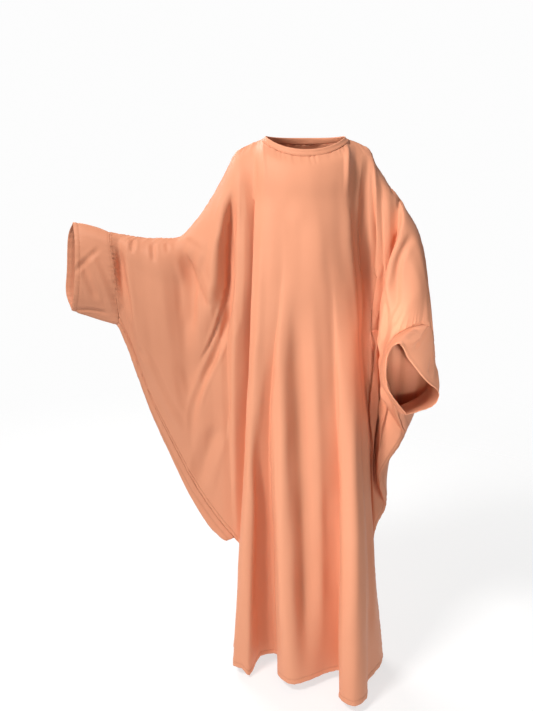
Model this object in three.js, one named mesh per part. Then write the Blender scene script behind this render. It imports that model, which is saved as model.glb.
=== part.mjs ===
import * as THREE from 'three';

// Butterfly abaya, worn by a standing figure with one arm held out and one arm bent.
// Millimetres, +Z up, +X to the viewer's right, the front faces -Y. The origin is midway
// between the shoulders, at the level where the cloth rests on them.

// Cloth
const CLOTH = 2.0;            // wall of the body and the cuffs
const BAND_CLOTH = 3.0;       // wall of the doubled neck band
const SEAM_SET_BACK = 0.22;   // each piece stops this far short of a seam
const MITRE_LIMIT = 1.6;      // longest corner of a wall, in half walls
const SHARP_SET_BACK = 1.6;   // stops further short where the cloth folds sharply at the seam

// Levels of the body
const CHEST_UP_Z = -110;
const CHEST_Z = -230;
const WAIST_Z = -620;
const CORNER_Z = -1058;       // where the wings' lower seams meet the side seams
const HEM_Z = -1427;

// Neck
const NECK_X = 3;             // centre of the neck
const NECK_HALF = 106;        // half its width
const NECK_FRONT = 80;        // depth in front of the shoulder line
const NECK_BACK = 66;         // depth behind it
const NECK_SIDE_Z = 28;       // shoulder line at the neck
const NECK_FRONT_DROP = 38;
const NECK_BACK_DROP = 10;
const BAND_RISE = { side: 8, middle: 16 };   // how far the band climbs from the neckline
const BAND_LEAN = { side: 12, middle: 6 };   // how far its top leans in
const BAND_RINGS = 2;
const NECK_CURVE = 1.6;       // how late the neckline drops from the shoulder seam

// Roll along the wing's lower edge: half its depth, and which way it reaches out
const ROLL_Y = 12;
const ROLL_LEAST = 4;         // a narrower roll is left out
const ROLL_OUT = { x: 0.72, z: 0.62 };
const ROLL_STOPS = { start: 0.91, behind: 0.95, before: 0.98 };

// Rows down a panel: 0 at the top edge, 1 at the wing's lower seam, LAST at the hem
const ROWS = [0, 0.03, 0.07, 0.12, 0.17, 0.23, 0.3, 0.38, 0.46, 0.54, 0.62, 0.7, 0.78, 0.85, 0.91,
  0.95, 0.98, 1];
const SKIRT_ROWS = [1.04, 1.09, 1.14, 1.19, 1.23, 1.27];
const LAST = 1.27;
const BODY_STOPS = { chestUp: 0.12, chest: 0.23, waist: 0.55, corner: 1, hem: LAST };

// Shoulder and overarm seam, from the neck out to the cuff's seam
const RIDGE_LEFT = [
  { x: -103, y: 0, z: 28 },
  { x: -135, y: 0, z: 16 },
  { x: -163, y: 0, z: 3 },
  { x: -174, y: 0, z: -14 },
  { x: -198, y: 0, z: -62 },
  { x: -233, y: 0, z: -120 },
  { x: -268, y: 0, z: -167 },
  { x: -298, y: 0, z: -200 },
  { x: -320, y: 0, z: -210 },
  { x: -384, y: -1, z: -210 },
  { x: -434, y: -3, z: -204 },
  { x: -482, y: -5, z: -195 },
];
const RIDGE_RIGHT = [
  { x: 109, y: 0, z: 28 },
  { x: 132, y: 0, z: 20 },
  { x: 152, y: 0, z: 11 },
  { x: 166, y: -2, z: -2 },
  { x: 172, y: -5, z: -24 },
  { x: 206, y: -12, z: -76 },
  { x: 236, y: -18, z: -110 },
  { x: 254, y: -26, z: -142 },
  { x: 278, y: -36, z: -178 },
  { x: 292, y: -44, z: -218 },
  { x: 301, y: -56, z: -270 },
  { x: 308, y: -72, z: -335 },
  { x: 311, y: -95, z: -412 },
];

// Lower seam of the wing on the viewer's left, from the cuff in to the corner, and how far
// below it the back rolls round to the front
const WING_SEAM = [
  { x: -470, z: -425, roll: 8 },
  { x: -454, z: -456, roll: 10 },
  { x: -438, z: -502, roll: 14 },
  { x: -389, z: -648, roll: 18 },
  { x: -335, z: -773, roll: 24 },
  { x: -286, z: -878, roll: 30 },
  { x: -247, z: -944, roll: 36 },
  { x: -214, z: -993, roll: 40 },
  { x: -182, z: -1034, roll: 26 },
  { x: -172, z: -1047, roll: 3 },
  { x: -163, z: CORNER_Z, roll: 0 },
];

// Wing on the viewer's left. Each row is a line down the cloth: where it leaves the
// overarm seam, its x and y on the front and its y on the back at three heights (a fifth,
// a half and three quarters of the way down), and where it meets the lower seam. A shift
// moves the back's line sideways from the front's.
const WING_LEFT = [
  { top: -482, x1: -477, x2: -472, x3: -471, f1: -30, f2: -32, f3: -24, b1: 22, b2: 26, b3: 18, foot: -470 },
  { top: -462, x1: -461, x2: -456, x3: -449, f1: -18, f2: -20, f3: -17, b1: 22, b2: 26, b3: 20, foot: -446 },
  { top: -436, x1: -436, x2: -428, x3: -418, f1: -36, f2: -42, f3: -30, b1: 26, b2: 32, b3: 26, foot: -408 },
  { top: -400, x1: -396, x2: -386, x3: -374, f1: -40, f2: -38, f3: -26, b1: 34, b2: 38, b3: 28, foot: -362 },
  { top: -358, x1: -350, x2: -338, x3: -326, f1: -44, f2: -36, f3: -26, b1: 40, b2: 42, b3: 30, foot: -318 },
  { top: -318, x1: -304, x2: -296, x3: -288, f1: -34, f2: -28, f3: -22, b1: 40, b2: 44, b3: 32, foot: -281 },
  { top: -284, x1: -270, x2: -260, x3: -255, f1: -46, f2: -40, f3: -28, b1: 38, b2: 44, b3: 32, foot: -250 },
  { top: -240, x1: -240, x2: -232, x3: -228, f1: -58, f2: -42, f3: -28, b1: 38, b2: 42, b3: 32, foot: -224 },
  { top: -202, x1: -210, x2: -207, x3: -205, f1: -66, f2: -46, f3: -30, b1: 40, b2: 40, b3: 34, foot: -203 },
  { top: -176, x1: -180, x2: -190, x3: -188, f1: -48, f2: -46, f3: -30, b1: 46, b2: 42, b3: 36, foot: -184 },
  { top: -156, x1: -160, x2: -176, x3: -178, f1: -84, f2: -66, f3: -36, b1: 58, b2: 50, b3: 38, foot: -172 },
  { top: -140, x1: -106, x2: -116, x3: -141, f1: -58, f2: -40, f3: -24, b1: 74, b2: 64, b3: 36, foot: -163,
    shift: -36 },
];

// Wing on the viewer's right, which hangs from the bent arm. Each row is a line down the
// cloth: its height on the overarm seam, then the points an eighth, a quarter, a half and
// four fifths of the way down on the front (f) and on the back (b), and its foot.
const WING_RIGHT = [
  { top: 11, foot: [208, 14, CORNER_Z],
    f: [[152, -50, -115], [159, -50, -250], [180, -32, -524], [193, -4, -880]],
    b: [[154, 48, -115], [160, 60, -250], [184, 54, -524], [200, 38, -880]] },
  { top: -12, foot: [218, 10, -1004],
    f: [[174, -58, -125], [184, -66, -250], [190, -44, -500], [198, -14, -850]],
    b: [[178, 40, -125], [186, 50, -250], [202, 54, -500], [208, 48, -850]] },
  { top: -45, foot: [240, 10, -955],
    f: [[190, -46, -150], [197, -50, -270], [202, -26, -500], [199, -2, -830]],
    b: [[198, 34, -150], [208, 44, -270], [222, 52, -500], [226, 38, -825]] },
  { top: -76, foot: [229, -11, -912],
    f: [[208, -52, -168], [211, -50, -280], [213, -20, -490], [204, 3, -805]],
    b: [[222, 26, -170], [232, 38, -285], [248, 44, -490], [243, 18, -800]] },
  { top: -107, foot: [214, -38, -850],
    f: [[231, -44, -165], [231, -40, -270], [222, -24, -460], [203, -40, -715]],
    b: [[248, 16, -185], [260, 26, -290], [278, 28, -470], [258, -6, -738]] },
  { top: -135, foot: [276, -28, -722],
    f: [[233, -76, -180], [211, -86, -250], [190, -86, -425], [217, -48, -622]],
    b: [[272, 4, -205], [284, 14, -290], [302, 14, -440], [308, 0, -644]] },
  { top: -166, foot: [267, -48, -696],
    f: [[250, -82, -208], [227, -96, -262], [197, -107, -400], [210, -68, -602]],
    b: [[288, -6, -225], [300, 2, -298], [315, 0, -432], [313, -14, -632]] },
  { top: -226, foot: [257, -68, -671],
    f: [[271, -96, -250], [246, -112, -288], [207, -124, -402], [204, -87, -582]],
    b: [[304, -20, -272], [315, -14, -330], [328, -12, -450], [315, -26, -623]] },
  { top: -310, foot: [247, -87, -646],
    f: [[287, -112, -315], [262, -132, -332], [210, -142, -410], [201, -104, -564]],
    b: [[318, -42, -350], [327, -32, -395], [336, -23, -488], [313, -38, -614]] },
  { top: -412, foot: [238, -104, -622],
    f: [[289, -122, -405], [262, -142, -406], [205, -158, -440], [198, -122, -548]],
    b: [[325, -74, -438], [334, -54, -474], [341, -36, -530], [309, -53, -606]] },
];
const LEFT_STOPS = [0.2, 0.5, 0.75];
const RIGHT_STOPS = [0.12, 0.25, 0.5, 0.82];

// Front of the body between the wings. Each row is a fold line: its place on the top edge
// (x on the shoulder seam or the neckline), then x and y at the upper chest, the chest, the
// waist, the corner's level and the hem, and how far the hem dips there.
const FRONT_BODY = [
  { top: -120, u: [-118, -66], c: [-124, -88], w: [-141, -80], k: [-164, -50], h: [-184, -46], dip: 0 },
  { top: -103, u: [-100, -88], c: [-102, -105], w: [-124, -94], k: [-148, -70], h: [-162, -56], dip: 2 },
  { top: -95, u: [-85, -97], c: [-84, -113], w: [-108, -92], k: [-132, -68], h: [-140, -62], dip: 20 },
  { top: -82, u: [-71, -102], c: [-68, -118], w: [-96, -84], k: [-112, -28], h: [-110, -2], dip: 0 },
  { top: -69, u: [-59, -106], c: [-54, -121], w: [-79, -79], k: [-70, -20], h: [-54, 4], dip: 0 },
  { top: -58, u: [-50, -108], c: [-46, -123], w: [-76, -98], k: [-68, -90], h: [-59, -82], dip: 0 },
  { top: -42, u: [-36, -110], c: [-32, -125], w: [-52, -109], k: [-44, -116], h: [-22, -123], dip: 0 },
  { top: -22, u: [-18, -112], c: [-10, -126], w: [-18, -104], k: [0, -108], h: [30, -106], dip: 0 },
  { top: 0, u: [2, -112], c: [14, -126], w: [18, -102], k: [44, -92], h: [82, -76], dip: 0 },
  { top: 26, u: [26, -110], c: [40, -123], w: [62, -97], k: [104, -72], h: [132, -66], dip: 0 },
  { top: 44, u: [43, -107], c: [56, -119], w: [90, -91], k: [128, -84], h: [134, -104], dip: 0 },
  { top: 60, u: [58, -103], c: [68, -115], w: [94, -107], k: [107, -138], h: [106, -174], dip: 0 },
  { top: 76, u: [74, -98], c: [82, -109], w: [112, -112], k: [140, -166], h: [139, -211], dip: 0 },
  { top: 92, u: [89, -92], c: [96, -102], w: [134, -102], k: [170, -142], h: [180, -180], dip: 0 },
  { top: 109, u: [104, -82], c: [110, -92], w: [148, -78], k: [176, -86], h: [188, -116], dip: 0 },
  { top: 124, u: [121, -70], c: [126, -78], w: [160, -66], k: [192, -62], h: [212, -80], dip: 0 },
  { top: 138, u: [134, -66], c: [142, -72], w: [170, -56], k: [204, -34], h: [237, -42], dip: 0 },
];

// Side seams below the corner: x and y at the hem
const SIDE_LEFT = { x: -187, y: -16 };
const SIDE_RIGHT = { x: 249, y: -8 };

// Back of the body, in the same columns
const BACK_BODY = [
  { top: -120, u: [-124, 62], c: [-126, 84], w: [-134, 78], k: [-162, 26], h: [-186, 20], dip: 0 },
  { top: -103, u: [-104, 74], c: [-105, 96], w: [-118, 90], k: [-154, 62], h: [-188, 62], dip: 0 },
  { top: -80, u: [-82, 82], c: [-82, 103], w: [-98, 98], k: [-134, 84], h: [-168, 98], dip: 2 },
  { top: -52, u: [-54, 87], c: [-54, 107], w: [-70, 96], k: [-92, 74], h: [-114, 72], dip: 0 },
  { top: -24, u: [-24, 90], c: [-24, 108], w: [-34, 98], k: [-52, 104], h: [-70, 122], dip: 0 },
  { top: 0, u: [0, 90], c: [2, 108], w: [2, 100], k: [-12, 118], h: [-20, 148], dip: 3 },
  { top: 28, u: [28, 90], c: [30, 108], w: [36, 96], k: [34, 92], h: [36, 102], dip: 0 },
  { top: 56, u: [58, 86], c: [60, 106], w: [72, 94], k: [84, 82], h: [90, 86], dip: 0 },
  { top: 84, u: [86, 80], c: [88, 102], w: [104, 98], k: [130, 108], h: [148, 132], dip: 2 },
  { top: 109, u: [108, 72], c: [110, 96], w: [128, 92], k: [168, 88], h: [200, 96], dip: 0 },
  { top: 124, u: [126, 64], c: [130, 86], w: [148, 80], k: [190, 64], h: [228, 64], dip: 0 },
  { top: 138, u: [142, 56], c: [146, 74], w: [166, 68], k: [202, 40], h: [246, 28], dip: 0 },
];

// Broad creases pressed into the panels: a path in x and z from one end to the other,
// how deep (towards the wearer) or, if negative, how high it stands, and its half width.
const CREASES = [
  { panel: 'front', path: [[-312, -205], [-284, -262], [-246, -352]], depth: 12, half: 20 },
  { panel: 'front', path: [[-290, -215], [-256, -240], [-226, -262]], depth: -8, half: 22 },
  { panel: 'front', path: [[-172, -120], [-180, -300], [-214, -450], [-290, -590]], depth: 16, half: 26 },
  { panel: 'front', path: [[-190, -82], [-209, -198], [-246, -350]], depth: -10, half: 24 },
  { panel: 'front', path: [[-300, -250], [-294, -350], [-296, -460]], depth: 9, half: 24 },
  { panel: 'back', path: [[-300, -230], [-270, -380], [-250, -560]], depth: 10, half: 30 },
  { panel: 'back', path: [[-180, -60], [-230, -260], [-330, -480]], depth: 12, half: 34 },
];

// How far each layer moves out, one to three rows above the right wing's lower seam
const FOLD_ROUND = [
  { rowsUp: 1, move: 5 },
  { rowsUp: 2, move: 5 },
  { rowsUp: 3, move: 3 },
];

// Cuffs: the mouth, given at quarters of the way from the overarm to the underarm seam
const MOUTH_LEFT = {
  front: [[-574, -8, -170], [-566, -34, -222], [-570, -38, -290], [-579, -30, -350], [-592, -6, -392]],
  back: [[-574, -8, -170], [-596, 20, -208], [-606, 26, -290], [-611, 20, -352], [-592, -6, -392]],
  bulge: 4,
};
const MOUTH_RIGHT = {
  front: [[238, -214, -466], [212, -228, -426], [192, -214, -462], [200, -198, -540], [252, -170, -618]],
  back: [[238, -214, -466], [282, -196, -520], [324, -172, -562], [312, -164, -600], [252, -170, -618]],
  bulge: 6,
};
const CUFF_RINGS = 5;
const ACROSS = 2;             // columns from one fold line to the next
const ACROSS_DEEP = 3;        // the same where the folds are deep
const SEAM_REACH = { top: 0.12, foot: 0.75 };   // rows whose columns bend to meet a seam
const REST = 22;              // how far the cloth spreads over the arm beside the overarm seam
const REST_SHARE = 0.75;      // or this share of the depth a fifth of the way down

// Where a line's second point lies: shares of the way from its top to its next point
const NEAR_RIGHT = { stop: 0.035, x: 0.22, y: 0.5, z: 0.16 };
const NEAR_NECK = { stop: 0.03, x: 0.3, y: 0.62, z: 0.22 };
const NEAR_SHOULDER = { stop: 0.03, x: 0.3, y: 0.5, z: 0.22 };

// How the broad creases fade: at their two ends, below the top edge and above the corner
const CREASE_ENDS = 0.12;
const CREASE_FADE = { top: 0.1, low: 1.2, over: 0.3 };

// Helpers
function lerp(a, b, t) {
  return a + (b - a) * t;
}

function lerp3(a, b, t) {
  return [lerp(a[0], b[0], t), lerp(a[1], b[1], t), lerp(a[2], b[2], t)];
}

function minus(a, b) {
  return a.map((value, k) => value - b[k]);
}

function smooth(t) {
  const c = Math.min(1, Math.max(0, t));
  return c * c * (3 - 2 * c);
}

function along(rows, key, value, wanted) {
  const sign = rows[rows.length - 1][key] > rows[0][key] ? 1 : -1;
  for (let i = 1; i < rows.length; i += 1) {
    const last = i === rows.length - 1;
    if (last || sign * value <= sign * rows[i][key]) {
      const a = rows[i - 1];
      const b = rows[i];
      const t = (value - a[key]) / (b[key] - a[key]);
      return wanted.map((name) => lerp(a[name], b[name], t));
    }
  }
  return null;
}

// Smooth curve through points at given stops, evaluated at t
function curveAt(stops, points, t) {
  const n = stops.length;
  let i = 0;
  while (i < n - 2 && t > stops[i + 1]) {
    i += 1;
  }
  const span = stops[i + 1] - stops[i];
  const u = (t - stops[i]) / span;
  const out = [];
  for (let k = 0; k < 3; k += 1) {
    const slope = (points[i + 1][k] - points[i][k]) / span;
    let before = slope;
    let after = slope;
    if (i > 0) {
      const back = (points[i][k] - points[i - 1][k]) / (stops[i] - stops[i - 1]);
      before = lerp(back, slope, (stops[i] - stops[i - 1]) / (stops[i + 1] - stops[i - 1]));
    }
    if (i < n - 2) {
      const next = (points[i + 2][k] - points[i + 1][k]) / (stops[i + 2] - stops[i + 1]);
      after = lerp(slope, next, span / (stops[i + 2] - stops[i]));
    }
    const a = points[i][k];
    const b = points[i + 1][k];
    const u2 = u * u;
    const u3 = u2 * u;
    out.push(a * (2 * u3 - 3 * u2 + 1) + before * span * (u3 - 2 * u2 + u)
      + b * (3 * u2 - 2 * u3) + after * span * (u3 - u2));
  }
  return out;
}

function chordStops(points) {
  const stops = [0];
  for (let i = 1; i < points.length; i += 1) {
    const step = Math.hypot(...points[i].map((value, k) => value - points[i - 1][k]));
    stops.push(stops[i - 1] + Math.sqrt(Math.max(step, 0.01)));
  }
  return stops;
}

// Point part of the way from one knot to the next
function between(knots, stops, i, part) {
  if (part === 0) {
    return [...knots[i]];
  }
  return curveAt(stops, knots, lerp(stops[i], stops[i + 1], part));
}

// Top edge at a fold line, on the shoulder seam or on the neckline
function neckPoint(x, side) {
  const across = Math.min(1, Math.abs((x - NECK_X) / NECK_HALF));
  const depth = Math.sqrt(1 - across * across);
  const reach = side < 0 ? -NECK_FRONT : NECK_BACK;
  const drop = side < 0 ? NECK_FRONT_DROP : NECK_BACK_DROP;
  return [x, reach * depth, NECK_SIDE_Z - drop * Math.pow(depth, NECK_CURVE)];
}

function bodyTop(x, side) {
  if (x <= NECK_X - NECK_HALF) {
    return along(RIDGE_LEFT, 'x', x, ['x', 'y', 'z']);
  }
  if (x >= NECK_X + NECK_HALF) {
    return along(RIDGE_RIGHT, 'x', x, ['x', 'y', 'z']);
  }
  return neckPoint(x, side);
}

function leftFoot(x) {
  const [fx, fz] = along(WING_SEAM, 'x', x, ['x', 'z']);
  return [fx, -ROLL_Y, fz];
}

// A line down the wing on the viewer's left; side is -1 on the front and 1 on the back
function leftLine(row, side) {
  const top = along(RIDGE_LEFT, 'x', row.top, ['x', 'y', 'z']);
  const foot = leftFoot(row.foot);
  const key = side < 0 ? 'f' : 'b';
  const drop = Math.abs(foot[2] - top[2]);
  const near = Math.min(LEFT_STOPS[0] / 2, REST / drop);
  const reach = side * Math.min(REST, Math.abs(row[`${key}1`]) * REST_SHARE);
  const level = (t) => lerp(top[2], foot[2], t);
  const shift = side > 0 && row.shift ? row.shift : 0;
  const [high, middle, low] = LEFT_STOPS;
  const stops = [0, near, high, middle, low];
  const points = [
    top,
    [lerp(top[0], row.x1 + shift, near * 3), top[1] + reach, level(near * 0.8)],
    [row.x1 + shift, row[`${key}1`], level(high)],
    [row.x2 + shift * 0.7, row[`${key}2`], level(middle)],
    [row.x3 + shift * 0.4, row[`${key}3`], level(low)],
  ];
  if (side > 0) {
    const [out] = along(WING_SEAM, 'x', row.foot, ['roll']);
    const rolled = out >= ROLL_LEAST;
    const above = rolled ? 0.93 : ROLL_STOPS.start;
    stops.push(ROLL_STOPS.start);
    points.push([lerp(row.x3, foot[0], 0.7), lerp(row.b3, ROLL_Y, 0.7), level(above)]);
    if (rolled) {
      const x = foot[0] - out * ROLL_OUT.x;
      const z = foot[2] - out * ROLL_OUT.z;
      stops.push(ROLL_STOPS.behind, ROLL_STOPS.before);
      points.push([x, ROLL_Y * 0.55, z], [x, -ROLL_Y * 0.7, z]);
    }
  }
  stops.push(1);
  points.push(foot);
  return (t) => curveAt(stops, points, t);
}

function nearPoint(top, next, shares) {
  return [
    lerp(top[0], next[0], shares.x),
    lerp(top[1], next[1], shares.y),
    lerp(top[2], next[2], shares.z),
  ];
}

// A line down the wing on the viewer's right
function rightLine(row, side) {
  const top = along(RIDGE_RIGHT, 'z', row.top, ['x', 'y', 'z']);
  const middle = side < 0 ? row.f : row.b;
  const stops = [0, NEAR_RIGHT.stop, ...RIGHT_STOPS, 1];
  const points = [top, nearPoint(top, middle[0], NEAR_RIGHT), ...middle, row.foot];
  return (t) => curveAt(stops, points, t);
}

// A line down the body from the top edge to the hem
function bodyLine(row, side) {
  const top = bodyTop(row.top, side);
  const shares = Math.abs(row.top - NECK_X) > NECK_HALF ? NEAR_SHOULDER : NEAR_NECK;
  const stops = [0, shares.stop, ...Object.values(BODY_STOPS)];
  const points = [
    top,
    nearPoint(top, [...row.u, CHEST_UP_Z], shares),
    [...row.u, CHEST_UP_Z],
    [...row.c, CHEST_Z],
    [...row.w, WAIST_Z],
    [...row.k, CORNER_Z],
    [...row.h, HEM_Z - row.dip],
  ];
  return (t) => curveAt(stops, points, t);
}

function sidePoint(corner, hem, t) {
  const u = (t - 1) / (LAST - 1);
  return [lerp(corner[0], hem.x, u), lerp(corner[1], hem.y, u), lerp(corner[2], HEM_Z, u)];
}

// Depth of the broad creases at a point of a panel
function creaseDepth(panel, x, z) {
  let sum = 0;
  for (const crease of CREASES) {
    if (crease.panel !== panel) {
      continue;
    }
    let best = Infinity;
    let place = 0;
    const steps = crease.path.length - 1;
    for (let i = 0; i < steps; i += 1) {
      const [ax, az] = crease.path[i];
      const [bx, bz] = crease.path[i + 1];
      const length2 = (bx - ax) ** 2 + (bz - az) ** 2;
      const t = Math.min(1, Math.max(0, ((x - ax) * (bx - ax) + (z - az) * (bz - az)) / length2));
      const gap = Math.hypot(x - lerp(ax, bx, t), z - lerp(az, bz, t));
      if (gap < best) {
        best = gap;
        place = (i + t) / steps;
      }
    }
    const fade = Math.sin(Math.PI * lerp(CREASE_ENDS, 1 - CREASE_ENDS, place));
    sum += crease.depth * fade * Math.exp(-((best / crease.half) ** 2));
  }
  return sum;
}

// Columns of a panel: fold lines with evenly parted columns between them
function panelGrid(name, side) {
  const body = side < 0 ? FRONT_BODY : BACK_BODY;
  const lines = [];
  WING_LEFT.forEach((row) => lines.push({ zone: 'left', row, at: leftLine(row, side) }));
  body.forEach((row) => lines.push({ zone: 'body', row, at: bodyLine(row, side) }));
  WING_RIGHT.forEach((row) => lines.push({ zone: 'right', row, at: rightLine(row, side) }));
  const leftCorner = WING_LEFT.length - 1;
  const rightCorner = WING_LEFT.length + body.length;
  const spans = lines.length - 1;
  const levels = [...ROWS, ...SKIRT_ROWS];
  const columns = [];
  const starts = [];
  // More columns where the folds are deep: down the front, beside the left corner and
  // where the right wing folds in
  for (let i = 0; i < spans; i += 1) {
    const deepFront = side < 0 && i > leftCorner + 1 && i < rightCorner - 3;
    const deepCorner = Math.abs(i - leftCorner) <= 1;
    const deepFold = i === rightCorner + 3 || i === rightCorner + 4;
    const count = deepFront || deepCorner || deepFold ? ACROSS_DEEP : ACROSS;
    starts.push(columns.length);
    for (let c = 0; c < count; c += 1) {
      columns.push({ line: i, part: c / count, points: [] });
    }
  }
  starts.push(columns.length);
  columns.push({ line: spans, part: 0, points: [] });
  const knotsAt = (level) => lines.map((line) => line.at(level));
  // How far each column's ends must move to lie on the seams
  const topKnots = knotsAt(0);
  const footKnots = knotsAt(1);
  const topStops = chordStops(topKnots);
  const footStops = chordStops(footKnots);
  columns.forEach((column) => {
    const i = column.line;
    const { part } = column;
    const top = topPoint(lines, i, part, side);
    column.topShift = minus(top, between(topKnots, topStops, i, part));
    let foot = null;
    if (part > 0 && i < leftCorner) {
      foot = leftFoot(lerp(lines[i].row.foot, lines[i + 1].row.foot, part));
    } else if (part > 0 && i >= rightCorner) {
      foot = rightFoot(i - rightCorner + part);
    }
    column.footShift = foot ? minus(foot, between(footKnots, footStops, i, part)) : [0, 0, 0];
  });
  const cornerLeft = leftFoot(WING_LEFT[leftCorner].foot);
  const cornerRight = WING_RIGHT[0].foot;
  levels.forEach((level) => {
    const low = level > 1;
    const start = low ? leftCorner : 0;
    const stop = low ? rightCorner : spans;
    const knots = [];
    for (let i = start; i <= stop; i += 1) {
      if (low && i === leftCorner) {
        knots.push(sidePoint(cornerLeft, SIDE_LEFT, level));
      } else if (low && i === rightCorner) {
        knots.push(sidePoint(cornerRight, SIDE_RIGHT, level));
      } else {
        knots.push(lines[i].at(level));
      }
    }
    const stops = chordStops(knots);
    columns.forEach((column) => {
      const i = column.line;
      const { part } = column;
      if (i < start || i + part > stop) {
        return;
      }
      let point = between(knots, stops, i - start, part);
      const holdTop = 1 - smooth(level / SEAM_REACH.top);
      const holdFoot = low ? 0 : smooth((level - SEAM_REACH.foot) / (1 - SEAM_REACH.foot));
      point = point.map((value, k) => value + column.topShift[k] * holdTop
        + column.footShift[k] * holdFoot);
      const place = i + part;
      const edge = level === 0 || level === 1 || place === 0 || place === spans;
      const seam = low && (place === leftCorner || place === rightCorner);
      if (!edge && !seam) {
        const hold = smooth(level / CREASE_FADE.top)
          * smooth((CREASE_FADE.low - level) / CREASE_FADE.over);
        point[1] -= side * creaseDepth(name, point[0], point[2]) * hold;
      }
      column.points.push(point);
    });
  });
  return { columns, leftCorner: starts[leftCorner], rightCorner: starts[rightCorner] };
}

function rightFoot(place) {
  const feet = WING_RIGHT.map((row) => row.foot);
  const stops = chordStops(feet);
  const i = Math.min(feet.length - 2, Math.floor(place));
  return curveAt(stops, feet, lerp(stops[i], stops[i + 1], place - i));
}

function topPoint(lines, i, part, side) {
  const a = lines[i];
  if (part === 0) {
    return a.zone === 'right'
      ? along(RIDGE_RIGHT, 'z', a.row.top, ['x', 'y', 'z'])
      : bodyTop(a.row.top, side);
  }
  const b = lines[i + 1];
  if (a.zone === 'right') {
    return along(RIDGE_RIGHT, 'z', lerp(a.row.top, b.row.top, part), ['x', 'y', 'z']);
  }
  if (b.zone === 'right') {
    const edge = along(RIDGE_RIGHT, 'z', b.row.top, ['x', 'y', 'z']);
    return bodyTop(lerp(a.row.top, edge[0], part), side);
  }
  return bodyTop(lerp(a.row.top, b.row.top, part), side);
}

// Points and faces of the pieces before they get their wall. Points shared at a seam are
// the same point, so the pieces agree on the direction of the cloth there.
const shared = new Map();
const spots = [];

function spot(point) {
  const key = point.map((value) => Math.round(value * 1000)).join(',');
  if (!shared.has(key)) {
    shared.set(key, spots.length);
    spots.push({ at: new THREE.Vector3(...point), normal: new THREE.Vector3() });
  }
  return shared.get(key);
}

function addFace(faces, a, b, c) {
  if (a !== b && b !== c && a !== c) {
    faces.push([a, b, c]);
  }
}

function addQuad(faces, a, b, c, d) {
  const cut1 = spots[a].at.distanceTo(spots[c].at);
  const cut2 = spots[b].at.distanceTo(spots[d].at);
  if (cut1 <= cut2) {
    addFace(faces, a, b, c);
    addFace(faces, a, c, d);
  } else {
    addFace(faces, a, b, d);
    addFace(faces, b, c, d);
  }
}

function panelFaces(grid, side) {
  const faces = [];
  const ids = grid.columns.map((column) => column.points.map(spot));
  for (let c = 0; c < ids.length - 1; c += 1) {
    const deep = c >= grid.leftCorner && c < grid.rightCorner;
    const count = deep ? ROWS.length + SKIRT_ROWS.length : ROWS.length;
    for (let r = 0; r < count - 1; r += 1) {
      const quad = [ids[c][r], ids[c][r + 1], ids[c + 1][r + 1], ids[c + 1][r]];
      if (side > 0) {
        quad.reverse();
      }
      addQuad(faces, ...quad);
    }
  }
  return { faces, ids };
}

function ringAt(quarters, count) {
  const stops = quarters.map((_, i) => i / (quarters.length - 1));
  const ring = [];
  for (let i = 0; i < count; i += 1) {
    ring.push(curveAt(stops, quarters, ROWS[i]));
  }
  return ring;
}

function cuffFaces(frontSeam, backSeam, mouth, turned) {
  const faces = [];
  const rings = [];
  const count = ROWS.length;
  const mouthFront = ringAt(mouth.front, count);
  const mouthBack = ringAt(mouth.back, count);
  const centre = new THREE.Vector3();
  [...frontSeam, ...backSeam].forEach((id) => centre.add(spots[id].at));
  centre.divideScalar(count * 2);
  for (let k = 0; k <= CUFF_RINGS; k += 1) {
    const t = k / CUFF_RINGS;
    const ring = [];
    const place = (seam, open, i) => {
      if (k === 0) {
        return seam[i];
      }
      const from = spots[seam[i]].at.toArray();
      const point = lerp3(from, open[i], t);
      const away = spots[seam[i]].at.clone().sub(centre).normalize();
      const swell = mouth.bulge * Math.sin(Math.PI * t);
      return spot([point[0] + away.x * swell, point[1] + away.y * swell, point[2] + away.z * swell]);
    };
    for (let i = 0; i < count; i += 1) {
      ring.push(place(frontSeam, mouthFront, i));
    }
    for (let i = count - 2; i > 0; i -= 1) {
      ring.push(place(backSeam, mouthBack, i));
    }
    rings.push(ring);
  }
  for (let k = 0; k < CUFF_RINGS; k += 1) {
    for (let i = 0; i < rings[0].length; i += 1) {
      const j = (i + 1) % rings[0].length;
      const quad = [rings[k][i], rings[k][j], rings[k + 1][j], rings[k + 1][i]];
      if (turned) {
        quad.reverse();
      }
      addQuad(faces, ...quad);
    }
  }
  return faces;
}

function bandFaces(neckRing) {
  const faces = [];
  const ringsUp = Array.from({ length: BAND_RINGS + 1 }, (_, k) => k / BAND_RINGS);
  const rings = ringsUp.map((rise) => neckRing.map((id) => {
    if (rise === 0) {
      return id;
    }
    const from = spots[id].at;
    const away = new THREE.Vector3(from.x - NECK_X, from.y, 0).normalize();
    const middle = Math.abs(away.y);
    const lean = lerp(BAND_LEAN.side, BAND_LEAN.middle, middle) * rise;
    const climb = lerp(BAND_RISE.side, BAND_RISE.middle, middle) * rise;
    return spot([from.x - away.x * lean, from.y - away.y * lean, from.z + climb]);
  }));
  for (let k = 0; k < rings.length - 1; k += 1) {
    for (let i = 0; i < rings[0].length; i += 1) {
      const j = (i + 1) % rings[0].length;
      addQuad(faces, rings[k][i], rings[k][j], rings[k + 1][j], rings[k + 1][i]);
    }
  }
  return faces;
}

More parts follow.
